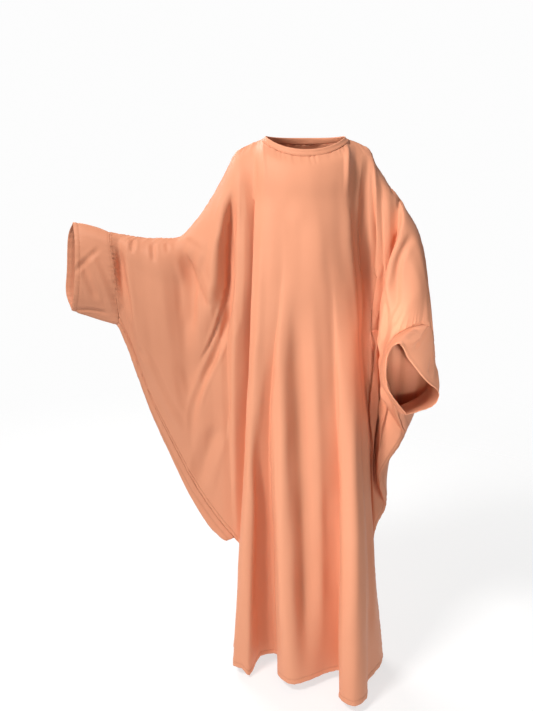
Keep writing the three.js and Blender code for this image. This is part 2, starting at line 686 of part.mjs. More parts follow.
// Direction of the cloth at each point; at a seam it lies midway between the pieces
function gatherNormals(pieces) {
  const ab = new THREE.Vector3();
  const ac = new THREE.Vector3();
  pieces.forEach(({ faces }) => {
    const own = new Map();
    faces.forEach((face) => {
      const at = face.map((id) => spots[id].at);
      face.forEach((id, k) => {
        ab.subVectors(at[(k + 1) % 3], at[k]).normalize();
        ac.subVectors(at[(k + 2) % 3], at[k]).normalize();
        const angle = Math.acos(Math.min(1, Math.max(-1, ab.dot(ac))));
        const normal = new THREE.Vector3().crossVectors(ab, ac).normalize();
        if (!own.has(id)) {
          own.set(id, new THREE.Vector3());
        }
        own.get(id).addScaledVector(normal, angle);
      });
    });
    own.forEach((normal, id) => spots[id].normal.add(normal.normalize()));
  });
  spots.forEach((one) => one.normal.normalize());
}

// Closed wall of a piece: the cloth's middle moved out and in by half its wall, with its
// edges set back from the seams and a rim all round
function wallGeometry(faces, wall) {
  const used = new Map();
  const own = [];
  faces.forEach((face) => face.forEach((id) => {
    if (!used.has(id)) {
      used.set(id, own.length);
      own.push({ id, back: [], own: new THREE.Vector3() });
    }
  }));
  const edges = new Map();
  const ab = new THREE.Vector3();
  const ac = new THREE.Vector3();
  faces.forEach(([a, b, c]) => {
    ab.subVectors(spots[b].at, spots[a].at);
    ac.subVectors(spots[c].at, spots[a].at);
    const normal = new THREE.Vector3().crossVectors(ab, ac).normalize();
    [[a, b], [b, c], [c, a]].forEach(([p, q]) => {
      edges.set(`${p},${q}`, { p, q, normal });
    });
    [a, b, c].forEach((id) => own[used.get(id)].own.add(normal));
  });
  const rim = [];
  edges.forEach((edge) => {
    if (!edges.has(`${edge.q},${edge.p}`)) {
      rim.push(edge);
    }
  });
  rim.forEach(({ p, q, normal }) => {
    const tangent = new THREE.Vector3().subVectors(spots[q].at, spots[p].at).normalize();
    const inward = new THREE.Vector3().crossVectors(normal, tangent).normalize();
    own[used.get(p)].back.push(inward);
    own[used.get(q)].back.push(inward);
  });
  const outer = [];
  const inner = [];
  own.forEach((one) => {
    const { at, normal } = spots[one.id];
    const face = one.own.clone().normalize();
    const tilt = Math.max(1 / MITRE_LIMIT, normal.dot(face));
    const half = wall / 2 / tilt;
    const base = at.clone();
    if (one.back.length >= 2) {
      const [i1, i2] = one.back;
      const sum = i1.clone().add(i2);
      const sharp = Math.max(0, 1 / MITRE_LIMIT - normal.dot(face));
      const setBack = SEAM_SET_BACK + SHARP_SET_BACK * sharp;
      sum.multiplyScalar(setBack / Math.max(0.3, 1 + i1.dot(i2)));
      base.add(sum);
    }
    outer.push(base.clone().addScaledVector(normal, half));
    inner.push(base.clone().addScaledVector(normal, -half));
  });
  const count = own.length;
  const index = [];
  faces.forEach(([a, b, c]) => {
    const [i, j, k] = [used.get(a), used.get(b), used.get(c)];
    index.push(i, j, k);
    index.push(count + i, count + k, count + j);
  });
  // Both pieces at a seam cut their rims along the same diagonal
  rim.forEach(({ p, q }) => {
    const [i, j] = [used.get(p), used.get(q)];
    if (p < q) {
      index.push(i, count + i, j);
      index.push(j, count + i, count + j);
    } else {
      index.push(i, count + i, count + j);
      index.push(i, count + j, j);
    }
  });
  const geometry = new THREE.BufferGeometry();
  const numbers = [...outer, ...inner].flatMap((point) => point.toArray());
  geometry.setAttribute('position', new THREE.Float32BufferAttribute(numbers, 3));
  geometry.setIndex(index);
  geometry.computeVertexNormals();
  return geometry;
}

// Rounds the fold along the lower seam of the wing on the viewer's right: just above the
// seam the two layers move apart, across the seam
function roundFold(frontColumns, backColumns) {
  const last = ROWS.length - 1;
  const count = frontColumns.length;
  const feet = frontColumns.map((column) => new THREE.Vector3(...column.points[last]));
  const across = feet.map((foot, c) => {
    const before = feet[Math.max(0, c - 1)];
    const after = feet[Math.min(count - 1, c + 1)];
    const tangent = new THREE.Vector3().subVectors(after, before);
    const up = new THREE.Vector3(...frontColumns[c].points[last - 3])
      .add(new THREE.Vector3(...backColumns[c].points[last - 3]))
      .multiplyScalar(0.5)
      .sub(foot);
    return new THREE.Vector3().crossVectors(tangent, up).normalize();
  });
  across.forEach((direction, c) => {
    const hold = Math.min(1, 0.3 + c * 0.4, (count - 1 - c) * 0.5);
    FOLD_ROUND.forEach(({ rowsUp, move }) => {
      const row = last - rowsUp;
      [[frontColumns[c], 1], [backColumns[c], -1]].forEach(([column, sign]) => {
        const moved = new THREE.Vector3(...column.points[row]);
        moved.addScaledVector(direction, sign * move * hold);
        column.points[row] = moved.toArray();
      });
    });
  });
}

// Pieces
const frontGrid = panelGrid('front', -1);
const backGrid = panelGrid('back', 1);
roundFold(
  frontGrid.columns.slice(frontGrid.rightCorner),
  backGrid.columns.slice(backGrid.rightCorner),
);
const front = panelFaces(frontGrid, -1);
const back = panelFaces(backGrid, 1);
const leftFront = front.ids[0];
const leftBack = back.ids[0];
const rightFront = front.ids[front.ids.length - 1];
const rightBack = back.ids[back.ids.length - 1];
const isNeck = (id) => {
  const { x } = spots[id].at;
  return Math.abs(x - NECK_X) <= NECK_HALF + 0.001;
};
const neckFront = front.ids.map((column) => column[0]).filter(isNeck);
const neckBack = back.ids.map((column) => column[0]).filter(isNeck);
const neckRing = [...neckFront, ...neckBack.slice(1, -1).reverse()];

const pieces = [
  { name: 'front', faces: front.faces, wall: CLOTH, color: 0xd98f6c },
  { name: 'back', faces: back.faces, wall: CLOTH, color: 0xd18863 },
  { name: 'cuff_right', faces: cuffFaces(leftFront, leftBack, MOUTH_LEFT, true), wall: CLOTH,
    color: 0xdd9570 },
  { name: 'cuff_left', faces: cuffFaces(rightFront, rightBack, MOUTH_RIGHT, false), wall: CLOTH,
    color: 0xdd9570 },
  { name: 'neck_band', faces: bandFaces(neckRing), wall: BAND_CLOTH, color: 0xc97f5b },
];
gatherNormals(pieces);

const group = new THREE.Group();
group.name = 'butterfly_abaya';
pieces.forEach(({ name, faces, wall, color }) => {
  const material = new THREE.MeshStandardMaterial({ color, roughness: 0.75, metalness: 0 });
  const mesh = new THREE.Mesh(wallGeometry(faces, wall), material);
  mesh.name = name;
  group.add(mesh);
});

export default group;
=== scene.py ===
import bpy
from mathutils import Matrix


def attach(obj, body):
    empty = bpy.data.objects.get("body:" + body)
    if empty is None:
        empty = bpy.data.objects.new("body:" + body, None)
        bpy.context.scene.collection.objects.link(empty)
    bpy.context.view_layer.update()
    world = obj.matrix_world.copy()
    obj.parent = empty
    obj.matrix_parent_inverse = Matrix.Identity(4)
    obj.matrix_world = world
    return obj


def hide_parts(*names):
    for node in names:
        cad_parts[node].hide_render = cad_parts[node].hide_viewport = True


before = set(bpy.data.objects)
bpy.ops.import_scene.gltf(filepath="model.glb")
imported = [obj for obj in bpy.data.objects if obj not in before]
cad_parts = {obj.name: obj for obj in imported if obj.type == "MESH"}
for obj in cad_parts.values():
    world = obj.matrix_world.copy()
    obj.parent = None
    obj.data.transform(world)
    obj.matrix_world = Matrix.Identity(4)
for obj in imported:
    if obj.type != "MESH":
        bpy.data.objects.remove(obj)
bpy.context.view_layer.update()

import math

import bmesh
import bpy
import numpy as np
from mathutils import Vector, noise
from mathutils.bvhtree import BVHTree
from mathutils.kdtree import KDTree

bl_info = {
    "name": "Butterfly abaya",
    "version": (1, 0, 0),
    "blender": (4, 5, 0),
    "location": "View3D > Sidebar > Abaya",
    "description": "Cloth, stitching and studio for a long loose abaya with wing sleeves",
    "category": "Add Mesh",
}

# Finding the cloth's own rows and columns in a node's wall, in metres
MERGE = 2e-6
WALL_REACH = 0.0036
NEAR_POINTS = 6       # points that may lie across the wall from one
STRAIGHT = 0.6        # least share of a step through the wall that follows the normal
LIKE_SIZE = 0.8       # least share of the larger face's triangles that the other one has

# Where each cuff's seam meets the shoulder and overarm seam. Each panel's top edge runs from the
# first place to the second.
CUFF_SEAMS = {"cuff_right": (-0.482, -0.005, -0.195), "cuff_left": (0.311, -0.095, -0.412)}
BAND_FOOT = (0.003, -0.087, -0.012)

# Creases: name, depth (below 0 goes in), half width, side, and x, y, z of each point of the line,
# all in mm. A line of side 1 or -1 is a fold's edge: the cloth is low and sharp on its right or
# left as it runs down.
FRONT_CREASES = [
    ("taut crest", 5.0, 12, 0, -184, -40, -73, -199, -55, -124, -208, -70, -182, -216, -73, -242,
     -225, -70, -316, -240, -59, -387),
    ("taut fold edge", -12.0, 7, 1, -174, -54, -70, -174, -54, -88, -179, -51, -131,
     -185, -48, -189, -190, -48, -248, -193, -45, -321, -208, -52, -388, -235, -44, -462,
     -271, -31, -532),
    ("taut crest inner", 2.4, 5, 0, -184, -52, -103, -199, -64, -164, -211, -70, -218),
    ("side valley", -9.0, 8, 0, -164, -58, -72, -169, -59, -135, -173, -55, -208, -175, -57, -276,
     -177, -60, -343, -191, -42, -416, -218, -45, -489, -253, -36, -566, -282, -28, -651,
     -290, -21, -743),
    ("side fold edge", -5.0, 7, -1, -147, -59, -65, -147, -70, -123, -150, -76, -186,
     -153, -81, -258, -155, -80, -332, -164, -76, -408, -184, -59, -485),
    ("wing valley", -8.0, 18, 0, -222, -35, -687, -244, -29, -757, -265, -20, -828,
     -276, -13, -893),
    ("thin fold", -3.2, 6, -1, -183, -53, -604, -192, -37, -695, -197, -33, -742),
    ("elbow fold", -6.0, 9, -1, -304, -30, -200, -270, -41, -214, -239, -64, -234),
    ("elbow sweep", -9.0, 10, -1, -302, -22, -221, -289, -32, -250, -274, -35, -282,
     -257, -49, -325, -239, -60, -361, -225, -59, -381),
    ("elbow crest", 4.0, 9, 0, -265, -52, -247, -248, -56, -296, -231, -65, -335, -215, -59, -366),
    ("elbow fall", -7.0, 12, 0, -296, -28, -236, -285, -33, -285, -278, -38, -335, -280, -38, -391,
     -287, -35, -452),
    ("elbow swirl", -2.0, 6, 0, -216, -60, -372, -222, -62, -384, -214, -60, -400),
    ("chest valley", -4.5, 22, 0, -54, -108, -93, -44, -122, -205, -44, -125, -344),
    ("chest valley right", -4.0, 20, 0, -8, -116, -127, -4, -127, -238, -1, -126, -343),
    ("body crease", -3.4, 9, 0, -109, -84, -124, -116, -95, -208, -127, -100, -413, -138, -86, -556,
     -136, -88, -662),
    ("body crest", 3.0, 10, 0, -102, -95, -145, -107, -105, -250, -114, -106, -412,
     -122, -98, -553),
    ("body valley", -8.0, 13, 0, -113, -93, -600, -113, -82, -747, -114, -50, -928,
     -118, -37, -1171, -121, -45, -1310),
    ("fold edge left", -5.0, 9, -1, -75, -101, -586, -74, -97, -831, -68, -98, -1005,
     -60, -97, -1236, -56, -92, -1399),
    ("fold crest left", 5.0, 12, 0, -55, -110, -601, -53, -111, -824, -50, -112, -1049,
     -42, -112, -1240, -34, -104, -1400),
    ("middle valley", -18.0, 22, 0, -32, -124, -280, -16, -106, -500, 1, -102, -767, 10, -103, -936,
     15, -105, -1092, 21, -107, -1298, 22, -107, -1440),
    ("right valley", -17.0, 26, 0, 140, -21, 0, 138, -49, -42, 143, -54, -110, 145, -64, -171,
     154, -59, -261, 163, -52, -358, 166, -52, -460, 177, -40, -570, 191, -29, -684, 201, 1, -781),
    ("right valley edge", -4.0, 12, 1, 94, -90, -78, 111, -86, -162, 124, -83, -258, 132, -82, -347,
     140, -78, -454, 149, -75, -560, 163, -71, -724),
    ("shoulder line", -8.0, 9, 1, 161, -25, -14, 162, -53, -112, 163, -57, -143, 173, -56, -299,
     189, -48, -464),
    ("shoulder branch", -5.0, 7, 0, 169, -59, -150, 184, -66, -250, 198, -101, -356),
    ("ridge by the arm", 2.5, 5, 0, 136, -66, -111, 148, -67, -255, 165, -52, -424),
    ("thin dark line", -6.0, 9, 1, 172, -47, -517, 185, -28, -612, 198, -16, -832),
    ("fold edge right", -4.0, 7, -1, 101, -112, -601, 106, -120, -787, 111, -139, -975,
     109, -157, -1194, 105, -166, -1342),
    ("plateau by the fold", 6.0, 16, 0, 76, -110, -540, 80, -110, -601, 83, -118, -787,
     88, -135, -975, 86, -152, -1194, 80, -160, -1342, 78, -160, -1400),
    ("fold crest right", 6.0, 10, 0, 123, -107, -563, 128, -127, -783, 132, -153, -967,
     131, -178, -1180, 121, -188, -1326),
    ("broad rise right", 7.0, 27, 0, 118, -100, -500, 124, -108, -602, 130, -127, -784,
     134, -154, -967, 131, -178, -1180, 121, -188, -1326, 119, -188, -1400),
    ("light line", 2.5, 5, 0, 168, -138, -1008, 173, -168, -1254),
    ("right roll", -7.0, 14, 0, 172, -68, -838, 190, -62, -1017, 198, -72, -1196, 198, -90, -1342),
    ("sleeve edge", -4.5, 8, 1, 243, -48, -139, 231, -51, -191, 215, -86, -233),
    ("sleeve main edge", 3.5, 7, 0, 247, -81, -200, 223, -91, -235, 209, -96, -288, 199, -103, -355,
     195, -106, -417),
    ("sleeve wall", -7.0, 10, -1, 186, -61, -207, 193, -56, -262, 200, -92, -313, 204, -111, -366,
     204, -128, -422),
    ("arm valley", -15.0, 12, 0, 173, -58, -80, 173, -58, -124, 176, -63, -207, 179, -61, -281,
     187, -60, -356, 194, -45, -436, 192, -94, -502, 209, -48, -622, 217, -44, -734),
    ("right wing shade", -9.0, 22, 0, 205, -52, -560, 205, -52, -599, 214, -44, -665,
     217, -44, -734, 215, -42, -806),
    ("sleeve crease", -6.5, 8, 0, 269, -65, -188, 241, -88, -219, 226, -94, -252, 223, -105, -291,
     221, -120, -337, 217, -138, -385),
    ("sleeve low crease", -4.0, 6, 0, 239, -135, -347, 230, -141, -367, 217, -143, -391,
     212, -146, -408),
    ("arm pucker", -3.6, 6, 0, 205, -10, -82, 220, -30, -101),
    ("arm pucker low", -3.8, 6, 0, 234, -21, -109, 233, -42, -134),
    ("sleeve outer line", -3.0, 5, -1, 286, -60, -200, 297, -72, -260, 304, -90, -330,
     306, -110, -390),
    ("cuff seam fold", 3.4, 8, 0, -471, -22, -206, -463, -25, -300, -450, -26, -380,
     -440, -22, -444),
    ("cuff seam valley", -5.5, 12, 0, -463, -21, -231, -457, -22, -289, -445, -30, -354,
     -436, -30, -419),
    ("seam pucker", -2.8, 6, 0, -462, -22, -376, -467, -17, -411),
    ("ridge pucker", -4.2, 6, 0, -424, -12, -206, -424, -21, -219, -427, -30, -246),
    ("ridge pucker inner", -4.2, 6, 0, -375, -16, -214, -373, -31, -238, -370, -38, -268),
    ("ridge pucker third", -3.0, 5, 0, -340, -20, -214, -337, -32, -240),
    ("wing lower crest", 3.2, 10, 0, -426, -27, -477, -397, -32, -527, -365, -25, -616,
     -311, -22, -726),
    ("wing lower shade", -3.0, 7, 0, -419, -32, -486, -403, -31, -524),
    ("wing right crease", -3.8, 7, 0, 197, -107, -552, 221, -94, -609, 252, -41, -685),
    ("wing right crest", 3.0, 8, 0, 212, -80, -520, 232, -80, -575, 252, -60, -640),
]
BACK_CREASES = [
    ("yoke ray left", -4.8, 8, 0, -128, 40, 4, -120, 70, -60, -100, 92, -130),
    ("yoke ray right", -5.1, 8, 0, 134, 40, 2, 124, 70, -58, 106, 92, -134),
    ("nape valley", -2.4, 14, 0, -22, 96, -90, -26, 112, -220, -30, 118, -380),
    ("nape valley right", -2.4, 12, 0, 34, 96, -100, 40, 112, -240, 38, 118, -400),
    ("left side valley", -6.3, 10, 0, -160, 52, -80, -168, 52, -190, -182, 46, -330, -206, 44, -450,
     -246, 36, -540),
    ("left side crest", 3.6, 8, 0, -148, 58, -90, -152, 64, -200, -164, 58, -340, -184, 50, -460),
    ("left elbow fold", -5.7, 8, -1, -300, 20, -222, -276, 36, -286, -256, 42, -340,
     -236, 42, -392),
    ("left elbow crest", 3.6, 7, 0, -288, 26, -226, -264, 38, -290, -242, 42, -350),
    ("left wing valley", -5.1, 11, 0, -330, 34, -440, -300, 34, -560, -286, 28, -680,
     -280, 20, -780),
    ("left wing crest", 3.3, 10, 0, -380, 34, -440, -356, 30, -540, -326, 28, -640),
    ("left cuff valley", -5.1, 9, 0, -462, 20, -236, -452, 22, -310, -440, 22, -400),
    ("left overarm pucker", -3.3, 5, 0, -420, 10, -206, -420, 22, -240),
    ("left overarm pucker inner", -3.0, 5, 0, -366, 12, -212, -362, 28, -250),
    ("right side valley", -6.3, 10, 0, 172, 44, -80, 184, 52, -200, 196, 54, -380, 204, 52, -560,
     212, 44, -720),
    ("right side crest", 3.6, 8, 0, 160, 52, -90, 168, 60, -210, 180, 60, -390, 188, 56, -560),
    ("right elbow fold", -5.1, 8, 0, 286, -20, -226, 298, -12, -300, 308, -10, -380,
     314, -10, -470),
    ("right elbow crease", -3.9, 6, 0, 262, 12, -240, 280, 14, -320, 292, 14, -410, 296, 8, -520),
    ("right wing valley", -4.5, 10, 0, 246, 36, -380, 250, 42, -500, 246, 32, -640, 238, 14, -760),
    ("right cuff fold", -3.9, 7, -1, 324, -64, -430, 318, -50, -500, 306, -46, -570),
    ("back fold edge left", -3.9, 5, -1, -84, 112, -560, -86, 120, -800, -84, 122, -1040,
     -80, 118, -1300),
    ("back fold crest left", 3.6, 10, 0, -64, 118, -560, -64, 128, -820, -62, 130, -1080,
     -58, 128, -1320),
    ("back middle valley", -4.5, 13, 0, -8, 118, -620, -10, 116, -860, -12, 108, -1120,
     -14, 104, -1340),
    ("back fold edge right", -3.9, 5, 1, 84, 116, -540, 92, 124, -800, 98, 126, -1060,
     100, 122, -1310),
    ("back fold crest right", 3.6, 9, 0, 66, 120, -560, 72, 130, -830, 76, 132, -1090,
     78, 130, -1330),
    ("back side valley left", -4.8, 9, 0, -128, 84, -640, -134, 76, -880, -140, 66, -1150),
    ("back side valley right", -4.8, 9, 0, 146, 84, -640, 156, 76, -880, 166, 66, -1150),
]
CUFF_RIGHT_CREASES = [
    ("cuff crest", 3.9, 8, 0, -535, -36, -235, -511, -39, -286, -480, -18, -403),
    ("cuff valley", -5.4, 8, 0, -550, -39, -249, -537, -40, -307, -518, -28, -367),
    ("cuff bottom line", -3.0, 4.5, 0, -592, 1, -383, -529, -19, -390, -489, -17, -403),
    ("cuff upper ray", -3.0, 6, 0, -500, -30, -225, -540, -32, -262, -585, -20, -300),
    ("cuff back valley", -4.5, 8, 0, -500, 24, -240, -530, 28, -300, -560, 22, -350),
    ("cuff back crest", 3.0, 8, 0, -486, 26, -270, -510, 30, -330, -530, 24, -380),
]
CUFF_LEFT_CREASES = [
    ("cuff fold", -4.8, 7, 0, 213, -201, -421, 245, -166, -408, 280, -142, -410),
    ("cuff fold lower", 3.3, 7, 0, 210, -200, -448, 248, -176, -432, 286, -138, -428),
    ("cuff overarm line", -3.6, 5, 0, 308, -103, -415, 280, -151, -434, 255, -190, -448),
    ("cuff outer valley", -4.5, 8, 0, 330, -80, -470, 318, -120, -500, 300, -170, -520),
    ("cuff outer crest", 3.0, 8, 0, 336, -66, -520, 326, -110, -545, 306, -160, -565),
    ("cuff low valley", -3.9, 7, 0, 206, -150, -520, 214, -180, -540, 222, -205, -545),
]
BAND_CREASES = [
    ("band dip", -1.2, 9, 0, 34, -84, 2, 38, -80, 10),
    ("band dip left", -1.0, 8, 0, -52, -74, 6, -55, -70, 14),
    ("band dip back", -1.0, 9, 0, 20, 66, 18, 22, 62, 28),
]
CREASES = {
    "front": FRONT_CREASES,
    "back": BACK_CREASES,
    "cuff_right": CUFF_RIGHT_CREASES,
    "cuff_left": CUFF_LEFT_CREASES,
    "neck_band": BAND_CREASES,
}

# How creases are laid and cut
MM = 1000.0           # millimetres in a metre
PATH_STEP = 0.004     # distance between the points of a crease's smooth line, in metres
LAY_ROUNDS, SMOOTH_ROUNDS = 3, 6
BOX_REACH = 4         # how far from its line a crease is worked out, in half widths
FADE = 0.25           # share of a crease's length over which each end fades out
UNEVEN = 0.08         # share by which a crease's depth changes on its way
UNEVEN_TURN = 0.11    # its turn at each point of the line
# Cross-sections of a crease, in half widths: a trough's lips, and a fold's edge and its rise
LIP_SHARE, LIP_PLACE, LIP_SPREAD = 0.25, 2.0, 0.4
EDGE_SHARP, EDGE_LENGTH, EDGE_RISE, RISE_WIDTH = 0.16, 1.3, 0.4, 1.1
FOLD_SHADE_FROM = 0.007   # depth at which shade starts to be painted into a fold
FOLD_SHADE_OVER = 0.014   # further depth at which the painted shade is darkest

# Puckers beside an edge: the distance they are measured from, reach, wave length and share
PUCKERS = (
    ("from_top", 0.022, 0.017, 1.0),
    ("from_wing_seam", 0.020, 0.019, 1.3),
    ("from_hem", 0.024, 0.026, 1.2),
    ("from_left", 0.022, 0.016, 1.3),
    ("from_right", 0.022, 0.016, 1.3),
    ("from_side_seam", 0.014, 0.024, 0.7),
    ("from_seam", 0.016, 0.015, 1.2),
    ("from_mouth", 0.014, 0.021, 0.8),
)
BAND_WAVE = 0.25      # share of the waves on the doubled neck band, and of its puckers again
SLOW_WAVES, QUICK_WAVES, QUICK_START = (17, 9, 5.5), (38, 20, 13), (7, 0, 0)
QUICK_SHARE = 0.5
BAND_SEAM = 0.003     # distance of the band's stitches from its seam
BAND_EDGE = 0.006     # distance of the band's groove from its free edge
# A stitch line's groove, and the swell between it and the edge: sizes, and shares of the
# stitch line's distance
GROOVE_WIDTH, GROOVE_DEPTH, SWELL_HEIGHT = 0.0024, 0.0009, 0.0006
SWELL_AT, SWELL_WIDTH, SWELL_LEAST = 0.45, 0.35, 0.001

# Sizes of a tube's faces as shares of a panel's, and how far its smallest ones reach in
TUBE_DOWN, TUBE_ACROSS, TUBE_REACH = 0.5, 0.8, 0.016
FAR_OFF = 9.0         # distance written for a point that doesn't lie beside that edge

# A stitch: its sides, and rings of share of its length, share of its radius and lift in radii
STITCH_SIDES = 6
STITCH_RINGS = ((0.0, 0.35, -0.6), (0.2, 1.0, 0.35), (0.8, 1.0, 0.35), (1.0, 0.35, -0.6))

# The cloth's look: how much paler its pale patches are, and how much shade is painted into its deep
# folds and along its stitch grooves
PALER = (1.06, 1.12, 1.16)
# shares of painted shade mixed into the cloth's colour in deep folds and along stitch grooves
FOLD_SHADE_TINT, SEAM_SHADE_TINT = 0.30, 0.16
# Its patches, flecks and weave: scales, and each one's share in the paleness and the height
PATCH_SCALE, FLECK_SCALE, WARP_SCALE, WEFT_SCALE = 9.0, 420.0, 330.0, 300.0
PATCH_PALE, FLECK_PALE, LESS_PALE = 0.55, 0.2, 0.1
THREAD_HEIGHT, FLECK_HEIGHT, FLECK_ROUGH = 0.5, 0.8, 0.12
CLOTH_FINISH = {
    "Specular IOR Level": 0.13,
    "Sheen Weight": 0.02,
    "Sheen Roughness": 0.45,
    "Sheen Tint": (1.0, 0.80, 0.68, 1.0),
}
FLOOR_FINISH = {
    "Roughness": 0.9,
    "Emission Color": (1.0, 1.0, 1.0, 1.0),
    "Emission Strength": 0.66,
}
FLOOR_SHADES = (0.38, 0.40)
FLOOR_FADE = (0.25, 0.98)          # shares of the radius over which the floor thins out
FLOOR_INSETS = (0.3, 0.3, 0.25)    # shares of the radius between the floor's rings
WORLD_SEEN, WORLD_LIGHT = 0.80, 0.18    # what the camera sees on top of what lights the cloth

# Lamps: name, place, target, width and height, power, colour and spread in degrees
KEY_WHITE = (1.0, 0.985, 0.96)
SOFT_WHITE = (1.0, 0.99, 0.98)
LAMPS = (
    ("key", (-1.9, -2.0, 2.5), (0.05, 0.0, -0.5), (0.8, 0.8), 132, KEY_WHITE, 180),
    ("strip", (-1.6, -1.95, -0.35), (0.22, 0.0, -0.55), (0.3, 1.6), 1.35, KEY_WHITE, 24),
    ("cuff", (0.25, -2.0, -0.35), (0.275, -0.12, -0.47), (0.15, 0.15), 0.14, KEY_WHITE, 10),
    ("fill", (2.4, -3.2, 0.4), (0.0, 0.0, -0.8), (2.0, 2.0), 14, SOFT_WHITE, 180),
    ("back", (-1.8, 2.8, 1.8), (0.0, 0.0, -0.6), (2.0, 2.0), 90, SOFT_WHITE, 180),
    ("back_right", (2.6, 1.6, 1.2), (0.0, 0.0, -0.8), (1.6, 1.6), 10, SOFT_WHITE, 180),
)

# Which way each panel faces along y
PANELS = {"front": -1, "back": 1}
SLOTS = {
    "front": "body_cloth",
    "back": "body_cloth",
    "cuff_right": "cuff_cloth",
    "cuff_left": "cuff_cloth",
    "neck_band": "neck_band_cloth",
}


def metres(name, description, default):
    """A length setting, in metres."""
    return bpy.props.FloatProperty(
        name=name, description=description, default=default, unit="LENGTH"
    )


def factor(name, description, default):
    """A setting that is a share of 1."""
    return bpy.props.FloatProperty(
        name=name, description=description, default=default, subtype="FACTOR"
    )


def triple(name, description, default, subtype):
    """A setting of three numbers: a colour or a place."""
    return bpy.props.FloatVectorProperty(
        name=name, description=description, default=default, subtype=subtype, size=3
    )


class ClothSizes(bpy.types.PropertyGroup):
    """Sizes of the cloth itself."""

    wall: metres("Cloth thickness", "Thickness of one layer", 0.0012)
    band_wall: metres("Band thickness", "Thickness of the doubled neck band", 0.0026)
    across: metres("Step across", "Size of a face across a panel", 0.005)
    down: metres("Step down", "Size of a face down a panel", 0.008)
    edge_step: metres("Step at an edge", "Size of a face beside a seam or hem", 0.0028)
    edge_reach: metres("Edge reach", "How far the smaller faces reach in", 0.026)
    wave: metres("Soft waves", "Height of the cloth's slow unevenness", 0.0016)
    pucker: metres("Pucker", "Height of the puckers beside a seam", 0.0011)
    crease: factor("Crease share", "Share of the creases' full depth", 1.0)


class ThreadSizes(bpy.types.PropertyGroup):
    """Sizes of the stitching."""

    length: metres("Stitch length", "Length of one stitch", 0.0034)
    gap: metres("Stitch gap", "Space between two stitches", 0.0011)
    radius: metres("Thread radius", "Half the thread's thickness", 0.00032)
    hem: metres("Hem depth", "Stitch line's height above the hem", 0.014)
    wing: metres("Wing seam depth", "Stitch line's height above a wing's lower seam", 0.016)
    cuff: metres("Cuff seam depth", "Stitch line's distance from a cuff's seam", 0.004)
    mouth: metres("Mouth hem depth", "Stitch line's distance from a cuff's mouth", 0.012)


class Finishes(bpy.types.PropertyGroup):
    """Colours of the cloth, the thread and the painted shade, linear."""

    cloth: triple("Cloth", "Peach satin crepe", (0.77, 0.325, 0.19), "COLOR")
    # painted shade: the colour the cloth is darkened towards in deep folds and along stitch grooves
    shade: triple("Shade", "The cloth deep in a fold", (0.36, 0.13, 0.062), "COLOR")
    thread: triple("Thread", "Sewing thread", (0.58, 0.22, 0.12), "COLOR")
    roughness: factor("Roughness", "Roughness of the cloth's satin side", 0.5)


class StageSizes(bpy.types.PropertyGroup):
    """Sizes of the studio."""

    floor_height: metres("Floor height", "Height of the floor", -1.456)
    floor_width: metres("Floor width", "Width of the pale floor", 6.0)
    camera_place: triple(
        "Camera place", "Where the camera stands", (-0.091, -1.90, -0.006), "TRANSLATION"
    )
    camera_pitch: bpy.props.FloatProperty(
        name="Camera pitch", description="How far the camera looks down",
        default=math.radians(15.0), subtype="ANGLE", unit="ROTATION"
    )
    lens: bpy.props.FloatProperty(
        name="Lens", description="Focal length in millimetres", default=750.0 / 711.0 * 36.0
    )


def merged_wall(node):
    """Points, normals and triangles of a merged copy of a node's mesh."""
    shape = bmesh.new()
    shape.from_mesh(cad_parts[node].data)
    bmesh.ops.remove_doubles(shape, verts=shape.verts, dist=MERGE)
    shape.normal_update()
    shape.verts.index_update()
    points = np.array([vert.co[:] for vert in shape.verts])
    normals = np.array([vert.normal[:] for vert in shape.verts])
    faces = [tuple(vert.index for vert in face.verts) for face in shape.faces]
    shape.free()
    return points, normals, faces


def wall_partners(points, normals):
    """For each point, the one across the wall from it, or -1."""
    tree = KDTree(len(points))
    for index, point in enumerate(points):
        tree.insert(point, index)
    tree.balance()
    pick = []
    for index, point in enumerate(points):
        near = [
            (far, other) for _, other, far in tree.find_n(point, NEAR_POINTS)
            if other != index and far < WALL_REACH
        ]
        straight = [
            (far, other) for far, other in near
            if abs(np.dot(points[other] - point, normals[index])) > STRAIGHT * far
        ]
        pick.append(min(straight or near or [(0.0, -1)])[1])
    return [
        other if other >= 0 and pick[other] == index else -1 for index, other in enumerate(pick)
    ]


def outer_sheet(node):
    """Points and triangles of the wall's outer face alone."""
    points, normals, faces = merged_wall(node)
    partner = wall_partners(points, normals)
    kept = [face for face in faces if not any(partner[vert] in face for vert in face)]
    group = list(range(len(points)))

    def root(vert):
        while group[vert] != vert:
            group[vert] = group[group[vert]]
            vert = group[vert]
        return vert

    for first, second, third in kept:
        group[root(second)] = root(first)
        group[root(third)] = root(first)
    sheets = {}
    for face in kept:
        sheets.setdefault(root(face[0]), []).append(face)
    halves = sorted(sheets.values(), key=len)[-2:]
    if len(halves) < 2 or len(halves[0]) < LIKE_SIZE * len(halves[1]):
        raise RuntimeError(f"{node}: its wall doesn't come apart into two faces")
    centre = points.mean(axis=0)

    def outness(half):
        own = points[sorted({vert for face in half for vert in face})]
        if node in PANELS:
            return PANELS[node] * own[:, 1].mean()
        return np.linalg.norm(own - centre, axis=1).mean()

    return points, max(halves, key=outness)


def edge_loops(faces):
    """Loops of points round a sheet's open edges."""
    sides = {(face[i], face[(i + 1) % 3]) for face in faces for i in range(3)}
    onward = {a: b for a, b in sides if (b, a) not in sides}
    loops = []
    while onward:
        start, vert = onward.popitem()
        loop = [start]
        while vert != start:
            loop.append(vert)
            vert = onward.pop(vert)
        loops.append(loop)
    return loops


def nearest_in(points, verts, place):
    """Which of verts lies nearest to place."""
    return min(verts, key=lambda vert: np.linalg.norm(points[vert] - np.array(place)))


